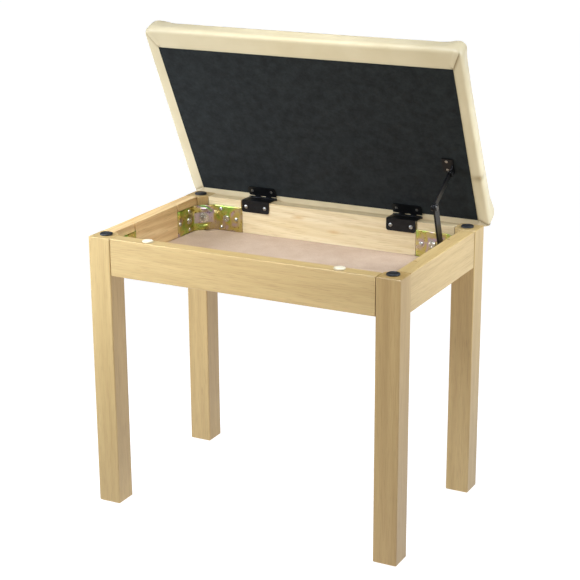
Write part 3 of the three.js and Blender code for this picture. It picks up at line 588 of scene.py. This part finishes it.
first_cut = add(
    screws,
    "GeometryNodeMeshBoolean",
    {"operation": "DIFFERENCE"},
    i0=head.outputs[0],
    i1=cutters[0].outputs[0],
)
second_cut = add(
    screws,
    "GeometryNodeMeshBoolean",
    {"operation": "DIFFERENCE"},
    i0=first_cut.outputs[0],
    i1=cutters[1].outputs[0],
)
facing = add(screws, "GeometryNodeInputNamedAttribute", {"data_type": "FLOAT_VECTOR"}, Name="facing")
aim = add(screws, "FunctionNodeAlignRotationToVector", {"axis": "Z"}, Vector=facing.outputs[0])
driven = add(
    screws,
    "FunctionNodeRandomValue",
    {"data_type": "FLOAT"},
    i2=0.0,
    i3=math.pi,
    Seed=given["Seed"],
)
twist = add(screws, "FunctionNodeAxisAngleToRotation", Axis=(0, 0, 1), Angle=driven.outputs[1])
turned = add(
    screws,
    "FunctionNodeRotateRotation",
    {"rotation_space": "LOCAL"},
    Rotation=aim.outputs[0],
    Rotate_By=twist.outputs[0],
)
placed = add(
    screws,
    "GeometryNodeInstanceOnPoints",
    Points=given["Geometry"],
    Instance=second_cut.outputs[0],
    Rotation=turned.outputs[0],
)
real = add(screws, "GeometryNodeRealizeInstances", Geometry=placed.outputs[0])
coated = add(screws, "GeometryNodeSetMaterial", Geometry=real.outputs[0], Material=given["Material"])
add(screws, "NodeGroupOutput", Geometry=coated.outputs[0])


def drive_screws(name, places, body, slot, **sizes):
    """Screws at (point, outward direction) places, as one plain mesh that rides on a body."""
    mesh = bpy.data.meshes.new(name)
    mesh.from_pydata([point for point, _ in places], [], [])
    outward = mesh.attributes.new("facing", "FLOAT_VECTOR", "POINT")
    for value, (_, direction) in zip(outward.data, places):
        value.vector = direction
    piece = bpy.data.objects.new(name, mesh)
    bpy.context.scene.collection.objects.link(piece)
    modifier = piece.modifiers.new("screws", "NODES")
    modifier.node_group = screws
    for socket in screws.interface.items_tree:
        if socket.in_out == "INPUT" and socket.name in sizes:
            modifier[socket.identifier] = sizes[socket.name]
    plain = bpy.data.meshes.new_from_object(piece.evaluated_get(bpy.context.evaluated_depsgraph_get()))
    piece.modifiers.clear()
    piece.data = plain
    plain.shade_smooth()
    plain.set_sharp_from_angle(angle=math.radians(45))
    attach(piece, body)


NEAR_SCREW, FAR_SCREW, SCREW_SPREAD = 15 * MM, 44 * MM, 15.5 * MM
bracket_screws = []
for corner in CORNERS:
    place = bracket_corner(corner)
    bend_side, bend_long = place["path"][2:4]
    for start, along, inward in (
        (bend_side, Vector((0, -place["sy"], 0)), Vector((-place["sx"], 0, 0))),
        (bend_long, Vector((-place["sx"], 0, 0)), Vector((0, -place["sy"], 0))),
    ):
        seat = Vector((start[0], start[1], place["middle"].z)) + inward * SHEET / 2
        for run, rise in ((NEAR_SCREW, SCREW_SPREAD), (NEAR_SCREW, -SCREW_SPREAD), (FAR_SCREW, 0)):
            bracket_screws.append((seat + along * run + Vector((0, 0, rise)), inward))
drive_screws(
    "bracket_screws",
    bracket_screws,
    "frame",
    "bright_steel",
    **{"Head diameter": 7 * MM, "Head height": 2.4 * MM, "Seed": 5, "Material": bright_zinc},
)

# ---- Hinges ----
# Two butt hinges folded from 1.4 mm steel strip and coated with satin black e-coat: the frame leaf hangs
# over the rear apron's inner face, the lid leaf is screwed up into the seat board, and a pin runs through
# the five knuckles. The coating is thin and smooth, and shines along each fold.
black_coat, tree, shader = start_material(
    "black_e_coated_steel", IOR=1.27, Coat_Weight=0.25, Coat_Roughness=0.14
)
place = add(tree, "ShaderNodeTexCoord").outputs["Object"]
wear = add(tree, "ShaderNodeTexNoise", Vector=place, Scale=1 / (5 * MM), Detail=5.0, Roughness=0.65)
blacks = {"stops": [(0.4, "#070707"), (0.8, "#161615")]}
tint = add(tree, "ShaderNodeValToRGB", blacks, Fac=wear.outputs[0])
tree.links.new(tint.outputs[0], shader.inputs["Base Color"])
rough = add(tree, "ShaderNodeMapRange", Value=wear.outputs[0], i1=0.3, i2=0.7, i3=0.3, i4=0.46)
tree.links.new(rough.outputs[0], shader.inputs["Roughness"])
peel = add(tree, "ShaderNodeTexNoise", Vector=place, Scale=1 / (1.2 * MM), Detail=1.0)
relief = add(tree, "ShaderNodeBump", Height=peel.outputs[0], Strength=0.15, Distance=0.04 * MM)
tree.links.new(relief.outputs[0], shader.inputs["Normal"])

hinge_pin = Vector(joints["lid_hinge"]["pos_m"])
open_angle = math.radians(joints["lid_hinge"]["range_deg"][1])
lid_turn = Matrix.Translation(hinge_pin) @ Matrix.Rotation(-open_angle, 4, "X")
LEAF_SCREW_SPREAD = 17.5 * MM
LID_SCREW_REACH = 13.5 * MM
FRAME_SCREW_HEIGHT = 9 * MM
LEAF_SHEET = 1.4 * MM
black_screw = plated_steel("grey_zinc_screw_steel", "#c9c6bd", "#7f7c75", 0.25)
frame_screws, lid_screws = [], []
for side in ("left", "right"):
    for node in ("hinge_frame_leaf", "hinge_lid_leaf", "hinge_pin"):
        dress(f"{node}_{side}", black_coat)
    low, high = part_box(f"hinge_frame_leaf_{side}")
    middle = (low.x + high.x) / 2
    leaf_points = frame["nodes"][f"hinge_lid_leaf_{side}"].data.vertices
    leaf = [lid_turn.inverted() @ v.co for v in leaf_points]
    leaf_top = max(v.z for v in leaf)
    for x in (middle - LEAF_SCREW_SPREAD, middle + LEAF_SCREW_SPREAD):
        frame_screws.append((Vector((x, low.y, low.z + FRAME_SCREW_HEIGHT)), Vector((0, -1, 0))))
        under = lid_turn @ Vector((x, -LID_SCREW_REACH, leaf_top - LEAF_SHEET))
        lid_screws.append((under, lid_turn.to_3x3() @ Vector((0, 0, -1))))

# ---- Folding stay ----
# Flat black-coated steel bars: a lug on the lid, a slim upper arm, a broader lower arm and a jogged
# plate on the right apron, riveted so that they fold down into the compartment. The elbow's friction
# holds the lid.
BASE_SCREWS = (7 * MM, 22 * MM)
LUG_SCREW_INSET, LUG_SCREW_SHIFT = 5 * MM, 1.5 * MM
for node in ("base_bracket", "base_rivet", "lid_bracket", "lid_rivet", "upper_arm", "lower_arm"):
    dress(f"stay_{node}", black_coat)
dress("stay_elbow_rivet", plated_steel("dark_riveted_steel", "#6f6c66", "#2d2b29", 0.22))
stay_base_screws = []
low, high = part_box("stay_base_bracket")
for run in BASE_SCREWS:
    seat = Vector((high.x - SHEET, low.y + run, (low.z + high.z) / 2))
    stay_base_screws.append((seat, Vector((-1, 0, 0))))
lug = [lid_turn.inverted() @ v.co for v in frame["nodes"]["stay_lid_bracket"].data.vertices]
lug_under = max(v.z for v in lug) - SHEET
lug_front, lug_back = min(v.y for v in lug), max(v.y for v in lug)
lug_middle = (min(v.x for v in lug) + max(v.x for v in lug)) / 2 - LUG_SCREW_SHIFT
for y in (lug_front + LUG_SCREW_INSET, lug_back - LUG_SCREW_INSET):
    under = lid_turn @ Vector((lug_middle, y, lug_under))
    lid_screws.append((under, lid_turn.to_3x3() @ Vector((0, 0, -1))))
dark_screws = {
    "Head diameter": 6.4 * MM,
    "Head height": 1.2 * MM,
    "Recess width": 1.1 * MM,
    "Material": black_screw,
}
frame_screws += stay_base_screws
drive_screws("frame_leaf_screws", frame_screws, "frame", "black_steel", Seed=11, **dark_screws)
flush_screws = {**dark_screws, "Head diameter": 5 * MM, "Head height": 0.3 * MM}
drive_screws("lid_leaf_screws", lid_screws, "lid", "black_steel", Seed=12, **flush_screws)

# ---- Seat cushion ----
# A slab of upholstery foam on a plywood board, covered with cream artificial leather: a smooth PVC
# skin with a fine pressed pore, drawn tight over the edges and stapled underneath. The foam swells the
# top into a shallow crown and rounds the sides, and the cover is creased into a mitre at each corner.


def lid_box(node):
    """The lowest and highest corners of a lid node with the lid shut, counted from the hinge pin."""
    shut = [lid_turn.inverted() @ v.co for v in frame["nodes"][node].data.vertices]
    axes = list(zip(*shut))
    return Vector([min(a) for a in axes]), Vector([max(a) for a in axes])


cream_vinyl, tree, shader = start_material(
    "cream_artificial_leather", IOR=1.52, Sheen_Weight=0.12, Sheen_Roughness=0.4
)
place = add(tree, "ShaderNodeTexCoord").outputs["Object"]
cloud = add(tree, "ShaderNodeTexNoise", Vector=place, Scale=1 / (60 * MM), Detail=3.0)
creams = {"stops": [(0.3, "#cfbe95"), (0.7, "#d8c8a1")]}
tint = add(tree, "ShaderNodeValToRGB", creams, Fac=cloud.outputs[0])
# Painted shade: the cover darkens towards brown along each corner's mitre crease and in a dent on the
# right side, where the fold and the dent would hold shadow.
painted_crease_shade = add(tree, "ShaderNodeAttribute", {"attribute_name": "worn"})
creased = add(
    tree,
    "ShaderNodeMix",
    {"data_type": "RGBA"},
    i0=painted_crease_shade.outputs["Fac"],
    i6=tint.outputs[0],
    i7=linear("#8a6f44"),
)
tree.links.new(creased.outputs[2], shader.inputs["Base Color"])
pores = add(tree, "ShaderNodeTexVoronoi", Vector=place, Scale=1 / (1.4 * MM))
creases = add(tree, "ShaderNodeTexNoise", Vector=place, Scale=1 / (18 * MM), Detail=4.0, Distortion=1.0)
grain = add(tree, "ShaderNodeBump", Height=pores.outputs["Distance"], Strength=0.22, Distance=0.07 * MM)
relief = add(
    tree,
    "ShaderNodeBump",
    Height=creases.outputs[0],
    Strength=0.25,
    Distance=0.9 * MM,
    Normal=grain.outputs[0],
)
tree.links.new(relief.outputs[0], shader.inputs["Normal"])
rough = add(tree, "ShaderNodeMapRange", Value=creases.outputs[0], i1=0.3, i2=0.7, i3=0.36, i4=0.5)
tree.links.new(rough.outputs[0], shader.inputs["Roughness"])

cover_low, cover_high = lid_box("seat_cover")
VOXEL = 5 * MM
SWELL_ROOM = 0.6 * MM
SWELL_CAP = 4.5 * MM
SWELL_FRAMES = 20
CORNER_RADIUS = 14 * MM
REAR_FULLNESS = 2.2 * MM
STAPLED_BAND = 12 * MM
SIDE_STEPS = (
    (0.0, 0.4),
    (0.04, 0.0),
    (0.5, 0.0),
    (0.8, 0.2),
    (0.9, 1.4),
    (0.96, 3.4),
    (1.0, 7.0),
)


def rounded_rectangle(low, high, radius, arc=8):
    """Corner points of a rectangle in plan with round corners, anticlockwise."""
    points = []
    for cx, cy, start in (
        (high.x - radius, high.y - radius, 0),
        (low.x + radius, high.y - radius, 90),
        (low.x + radius, low.y + radius, 180),
        (high.x - radius, low.y + radius, 270),
    ):
        for k in range(arc + 1):
            angle = math.radians(start + 90 * k / arc)
            points.append((cx + radius * math.cos(angle), cy + radius * math.sin(angle)))
    return points


built = bmesh.new()
rings = []
for share, inset_mm in SIDE_STEPS:
    inset = inset_mm * MM + SWELL_ROOM
    low = cover_low + Vector((inset, inset, 0))
    high = cover_high - Vector((inset, inset - REAR_FULLNESS, 0))
    z = cover_low.z + (cover_high.z - SWELL_ROOM - cover_low.z) * share
    rings.append([built.verts.new((x, y, z)) for x, y in rounded_rectangle(low, high, CORNER_RADIUS)])
for a, b in zip(rings, rings[1:]):
    for i in range(len(a)):
        j = (i + 1) % len(a)
        built.faces.new((a[i], a[j], b[j], b[i]))
built.faces.new(list(reversed(rings[0])))
built.faces.new(rings[-1])
mesh = bpy.data.meshes.new("slab")
built.to_mesh(mesh)
built.free()
slab = bpy.data.objects.new("slab", mesh)
bpy.context.scene.collection.objects.link(slab)
remesh = slab.modifiers.new("remesh", "REMESH")
remesh.mode = "VOXEL"
remesh.voxel_size = VOXEL
slab.data = bpy.data.meshes.new_from_object(slab.evaluated_get(bpy.context.evaluated_depsgraph_get()))
slab.modifiers.clear()
start = [v.co.copy() for v in slab.data.vertices]
stapled = slab.vertex_groups.new(name="stapled")
for v in slab.data.vertices:
    edge = (v.co.z - cover_low.z) / STAPLED_BAND
    stapled.add([v.index], min(max(1.0 - edge, 0.0), 1.0), "REPLACE")
cloth = slab.modifiers.new("swell", "CLOTH")
cloth.settings.use_pressure = True
cloth.settings.uniform_pressure_force = 4
cloth.settings.effector_weights.gravity = 0
cloth.settings.vertex_group_mass = "stapled"
cloth.settings.quality = 6
cloth.settings.tension_stiffness = 25
cloth.settings.compression_stiffness = 25
cloth.settings.bending_stiffness = 4
cloth.settings.shrink_min = -0.015
cloth.point_cache.frame_start = 1
cloth.point_cache.frame_end = SWELL_FRAMES
for step in range(1, SWELL_FRAMES + 1):
    bpy.context.scene.frame_set(step)
swollen = bpy.data.meshes.new_from_object(slab.evaluated_get(bpy.context.evaluated_depsgraph_get()))
slab.modifiers.clear()
slab.data = swollen
bpy.context.scene.frame_set(1)
moves = [v.co - home for v, home in zip(slab.data.vertices, start)]
for v, home, move in zip(slab.data.vertices, start, moves):
    v.co = home + move.normalized() * min(move.length, SWELL_CAP)
smooth = slab.modifiers.new("even", "SMOOTH")
smooth.factor = 0.5
smooth.iterations = 4
finer = slab.modifiers.new("finer", "SUBSURF")
finer.levels = finer.render_levels = 1
mesh = bpy.data.meshes.new_from_object(slab.evaluated_get(bpy.context.evaluated_depsgraph_get()))
bpy.data.objects.remove(slab)
cloth_low, cloth_high = lid_box("dust_cover")
DENT_X, DENT_Y = (cloth_high.x + cover_high.x) / 2 + 2 * MM, cover_low.y + 235 * MM
DENT_LENGTH, DENT_WIDTH, DENT_DEPTH = 9 * MM, 5 * MM, 1.2 * MM
CREASE_WIDTH, CREASE_DEPTH = 2.6 * MM, 0.7 * MM
# How strongly the crease and the dent are darkened as painted shade.
CREASE_PAINTED_SHADE, DENT_PAINTED_SHADE = 0.75, 0.6
MITRE_OUTER_INSET, MITRE_INNER_GAP = 5 * MM, 1 * MM


def lid_corner(low, high, sx, sy, outwards):
    """A box's corner in plan, moved outwards, at the height of the cover's underside."""
    x = (high.x if sx > 0 else low.x) + sx * outwards
    y = (high.y if sy > 0 else low.y) + sy * outwards
    return Vector((x, y, cover_low.z))


mitres = []
for sx in (-1, 1):
    for sy in (-1, 1):
        outer = lid_corner(cover_low, cover_high, sx, sy, -MITRE_OUTER_INSET)
        inner = lid_corner(cloth_low, cloth_high, sx, sy, MITRE_INNER_GAP)
        mitres.append((sx, sy, inner, outer))
# Each underside vertex near a mitre crease or the dent gets a painted shade weight for the cover's
# colour, beside the small sink that shapes the crease and the dent.
worn = mesh.attributes.new("worn", "FLOAT", "POINT")
for v in mesh.vertices:
    if v.co.z > cover_low.z + STAPLED_BAND:
        continue
    crease = 0.0
    for _, _, inner, outer in mitres:
        line = (outer - inner).normalized()
        run = (v.co - inner).dot(line)
        on_line = inner + line * min(max(run, 0), (outer - inner).length)
        crease = max(crease, math.exp(-(((v.co - on_line).length / CREASE_WIDTH) ** 2)))
    aside, beyond = (v.co.x - DENT_X) / DENT_LENGTH, (v.co.y - DENT_Y) / DENT_WIDTH
    dent = math.exp(-(aside**2 + beyond**2))
    worn.data[v.index].value = min(1.0, CREASE_PAINTED_SHADE * crease + DENT_PAINTED_SHADE * dent)
    v.co.z += CREASE_DEPTH * crease + DENT_DEPTH * dent
mesh.transform(lid_turn)
mesh.shade_smooth()
cushion = make_piece("seat_cushion", mesh, cream_vinyl, "lid", ["seat_cover", "seat_foam"])

# ---- Corner pleats ----
# Under each corner the spare leather is folded flat into a pleat along the mitre and stapled, so a
# raised fold runs from the dust cover's corner out over the seat's edge.
cushion_surface = BVHTree.FromPolygons(
    [lid_turn.inverted() @ v.co for v in mesh.vertices], [p.vertices[:] for p in mesh.polygons]
)
PLEAT_WIDTH, PLEAT_RISE, PLEAT_CLIMB, PLEAT_STEPS = 12 * MM, 1.5 * MM, 14 * MM, 28
PLEAT_OVERRUN, PLEAT_SHEET, PLEAT_NARROWEST = 3 * MM, 0.5 * MM, 0.4
FADE_IN_STEPS, FADE_OUT_STEPS = 4, 9
PLEAT_PROFILE = (
    (0.0, 0.85),
    (0.03, 1.0),
    (0.1, 1.0),
    (0.3, 0.75),
    (0.55, 0.3),
    (0.8, -0.3),
    (1.0, -1.1),
)
pleats = bmesh.new()
for sx, sy, inner, tip in mitres:
    out = (tip - inner).normalized()
    across = Vector((-out.y, out.x, 0)) * (1 if sx * sy > 0 else -1)
    flat_run = (tip - inner).length
    lines = []
    for k in range(PLEAT_STEPS + 1):
        walked = k / PLEAT_STEPS * (flat_run + PLEAT_CLIMB)
        climb = Vector((0, 0, max(walked - flat_run, 0)))
        centre = inner + out * min(walked, flat_run + PLEAT_OVERRUN) + climb
        fade = min(1, (k + 1) / FADE_IN_STEPS, (PLEAT_STEPS - k) / FADE_OUT_STEPS)
        width = PLEAT_WIDTH * (PLEAT_NARROWEST + (1 - PLEAT_NARROWEST) * fade)
        row = []
        for share, rise in PLEAT_PROFILE:
            near, normal, _, _ = cushion_surface.find_nearest(centre + across * width * share)
            lifted = PLEAT_RISE * (rise * fade - 0.5 * (1 - fade))
            row.append(pleats.verts.new(near + normal * lifted))
        lines.append(row)
    for a, b in zip(lines, lines[1:]):
        for i in range(len(a) - 1):
            pleats.faces.new((a[i], b[i], b[i + 1], a[i + 1]))
bmesh.ops.recalc_face_normals(pleats, faces=pleats.faces)
mesh = bpy.data.meshes.new("pleats")
pleats.to_mesh(mesh)
pleats.free()
mesh.transform(lid_turn)
flap = bpy.data.objects.new("flap", mesh)
bpy.context.scene.collection.objects.link(flap)
skin = flap.modifiers.new("skin", "SOLIDIFY")
skin.thickness = PLEAT_SHEET
skin.offset = -1
mesh = bpy.data.meshes.new_from_object(flap.evaluated_get(bpy.context.evaluated_depsgraph_get()))
bpy.data.objects.remove(flap)
mesh.shade_smooth()
make_piece("corner_pleats", mesh, cream_vinyl, "lid")

# ---- Seat board ----
# Twelve millimetre plywood, hidden inside the cover: pale rotary-cut faces with long soft figure.
plywood = hardwood("rotary_cut_plywood", 0, (300, 0, 0), "#dcc08b", "#c9a76d", 0.35)
dress("seat_board", plywood)

# ---- Dust cover ----
# A sheet of black spunbond polypropylene stretched over the board's underside. The web is point
# bonded, so it is matt, faintly mottled and dimpled, and two nuts in the board press through it near
# the front corners.
dust_cloth, tree, shader = start_material(
    "black_spunbond_cloth", IOR=1.4, Specular_IOR_Level=0.25, Sheen_Weight=0.04
)
place = add(tree, "ShaderNodeTexCoord").outputs["Object"]
web = add(tree, "ShaderNodeTexNoise", Vector=place, Scale=1 / (14 * MM), Detail=8.0, Roughness=0.8)
web_blacks = {"stops": [(0.36, "#0e100f"), (0.66, "#262a28")]}
tint = add(tree, "ShaderNodeValToRGB", web_blacks, Fac=web.outputs[0])
tree.links.new(tint.outputs[0], shader.inputs["Base Color"])
rough = add(tree, "ShaderNodeMapRange", Value=web.outputs[0], i1=0.3, i2=0.7, i3=0.7, i4=0.9)
tree.links.new(rough.outputs[0], shader.inputs["Roughness"])
bonds = add(tree, "ShaderNodeTexVoronoi", Vector=place, Scale=1 / (2.2 * MM), Randomness=0.25)
relief = add(tree, "ShaderNodeBump", Height=bonds.outputs["Distance"], Strength=0.35, Distance=0.12 * MM)
tree.links.new(relief.outputs[0], shader.inputs["Normal"])

CLOTH_STEP = 7 * MM
OUT_OF_SQUARE = 4 * MM
WEB_THICKNESS, WEB_SETBACK, WEB_SLACK = 0.5 * MM, 0.3 * MM, 0.25 * MM
NUT_MARKS = ((225 * MM, -264 * MM), (-219 * MM, -277 * MM))
MARK_RADIUS, MARK_RISE = 7 * MM, 0.5 * MM
columns = round((cloth_high.x - cloth_low.x) / CLOTH_STEP)
rows = round((cloth_high.y - cloth_low.y) / CLOTH_STEP)
built = bmesh.new()
grid = []
for i in range(columns + 1):
    column = []
    for k in range(rows + 1):
        u, v = i / columns, k / rows
        skew = OUT_OF_SQUARE * 0.5 * (u - 0.5) * (1 - 2 * v)
        x = cloth_low.x + (cloth_high.x - cloth_low.x) * u + skew
        y = cloth_low.y + (cloth_high.y - cloth_low.y) * v
        edge = min(u, 1 - u, v * 0.6, (1 - v) * 0.6)
        ripple = math.sin(u * 23 + v * 5) * math.sin(v * 17 - u * 3)
        slack = WEB_SLACK * ripple * min(1, edge * 12)
        bump = 0.0
        for nut_x, nut_y in NUT_MARKS:
            away = ((x - nut_x) ** 2 + (y - nut_y) ** 2) / MARK_RADIUS**2
            bump += MARK_RISE * math.exp(-away)
        column.append(built.verts.new((x, y, cloth_high.z - WEB_SETBACK + slack - bump)))
    grid.append(column)
for a, b in zip(grid, grid[1:]):
    for k in range(rows):
        built.faces.new((a[k], a[k + 1], b[k + 1], b[k]))
mesh = bpy.data.meshes.new("web")
built.to_mesh(mesh)
built.free()
mesh.transform(lid_turn)
sheet = bpy.data.objects.new("web", mesh)
bpy.context.scene.collection.objects.link(sheet)
web_wall = sheet.modifiers.new("web", "SOLIDIFY")
web_wall.thickness = WEB_THICKNESS
web_wall.offset = 0
mesh = bpy.data.meshes.new_from_object(sheet.evaluated_get(bpy.context.evaluated_depsgraph_get()))
bpy.data.objects.remove(sheet)
mesh.shade_smooth()
mesh.set_sharp_from_angle(angle=math.radians(50))
dust = make_piece("spunbond_dust_cover", mesh, dust_cloth, "lid", ["dust_cover"])

# ---- Studio ----
# A wide matt floor that glows white, in an even pale room. Five soft boxes with grids light the
# bench: the main one on the left, a weaker one on the right, a faint one in front, one overhead
# and one aimed into the left half of the compartment.
scene = bpy.context.scene
scene.view_settings.view_transform = "Standard"
floor_mesh = bpy.data.meshes.new("floor")
FLOOR_HALF = 30
floor_signs = ((-1, -1), (1, -1), (1, 1), (-1, 1))
floor_corners = [(sx * FLOOR_HALF, sy * FLOOR_HALF, 0) for sx, sy in floor_signs]
floor_mesh.from_pydata(floor_corners, [], [(0, 1, 2, 3)])
floor = bpy.data.objects.new("studio_floor", floor_mesh)
scene.collection.objects.link(floor)
pale_floor, tree, shader = start_material(
    "matt_white_floor",
    Roughness=0.9,
    Base_Color=linear("#8c8c8c"),
    Emission_Color=linear("#ffffff"),
    Emission_Strength=0.98,
)
floor_mesh.materials.append(pale_floor)

world = bpy.data.worlds.new("studio")
world.use_nodes = True
world.node_tree.nodes["Background"].inputs["Color"].default_value = linear("#ffffff")
world.node_tree.nodes["Background"].inputs["Strength"].default_value = 0.15
scene.world = world


def soft_light(name, place, target, size, spread, power, colour="#ffffff"):
    """A square area light facing a target, with a grid that keeps its beam to the spread angle."""
    lamp = bpy.data.lights.new(name, "AREA")
    lamp.shape = "SQUARE"
    lamp.size = size
    lamp.spread = math.radians(spread)
    lamp.energy = power
    lamp.color = linear(colour)[:3]
    light = bpy.data.objects.new(name, lamp)
    light.location = place
    light.rotation_euler = (Vector(target) - Vector(place)).to_track_quat("-Z", "Y").to_euler()
    scene.collection.objects.link(light)


soft_light("key_left", (-0.85, -0.62, 0.78), (-0.33, -0.12, 0.4), 0.3, 64, 2.5, "#d3e4ff")
soft_light("side_right", (0.95, 0.1, 1.0), (0.27, 0.02, 0.46), 0.3, 44, 0.95, "#dceaff")
soft_light("front", (0, -1.5, 1.15), (0, 0.1, 0.54), 0.3, 28, 0.35, "#e9f1ff")
soft_light("inner_left", (0.5, -0.35, 1.15), (-0.25, 0, 0.4), 0.25, 24, 0.09)
soft_light("top", (-0.1, -0.7, 2.4), (0, -0.02, 0.42), 0.5, 36, 2.3, "#e9f1ff")
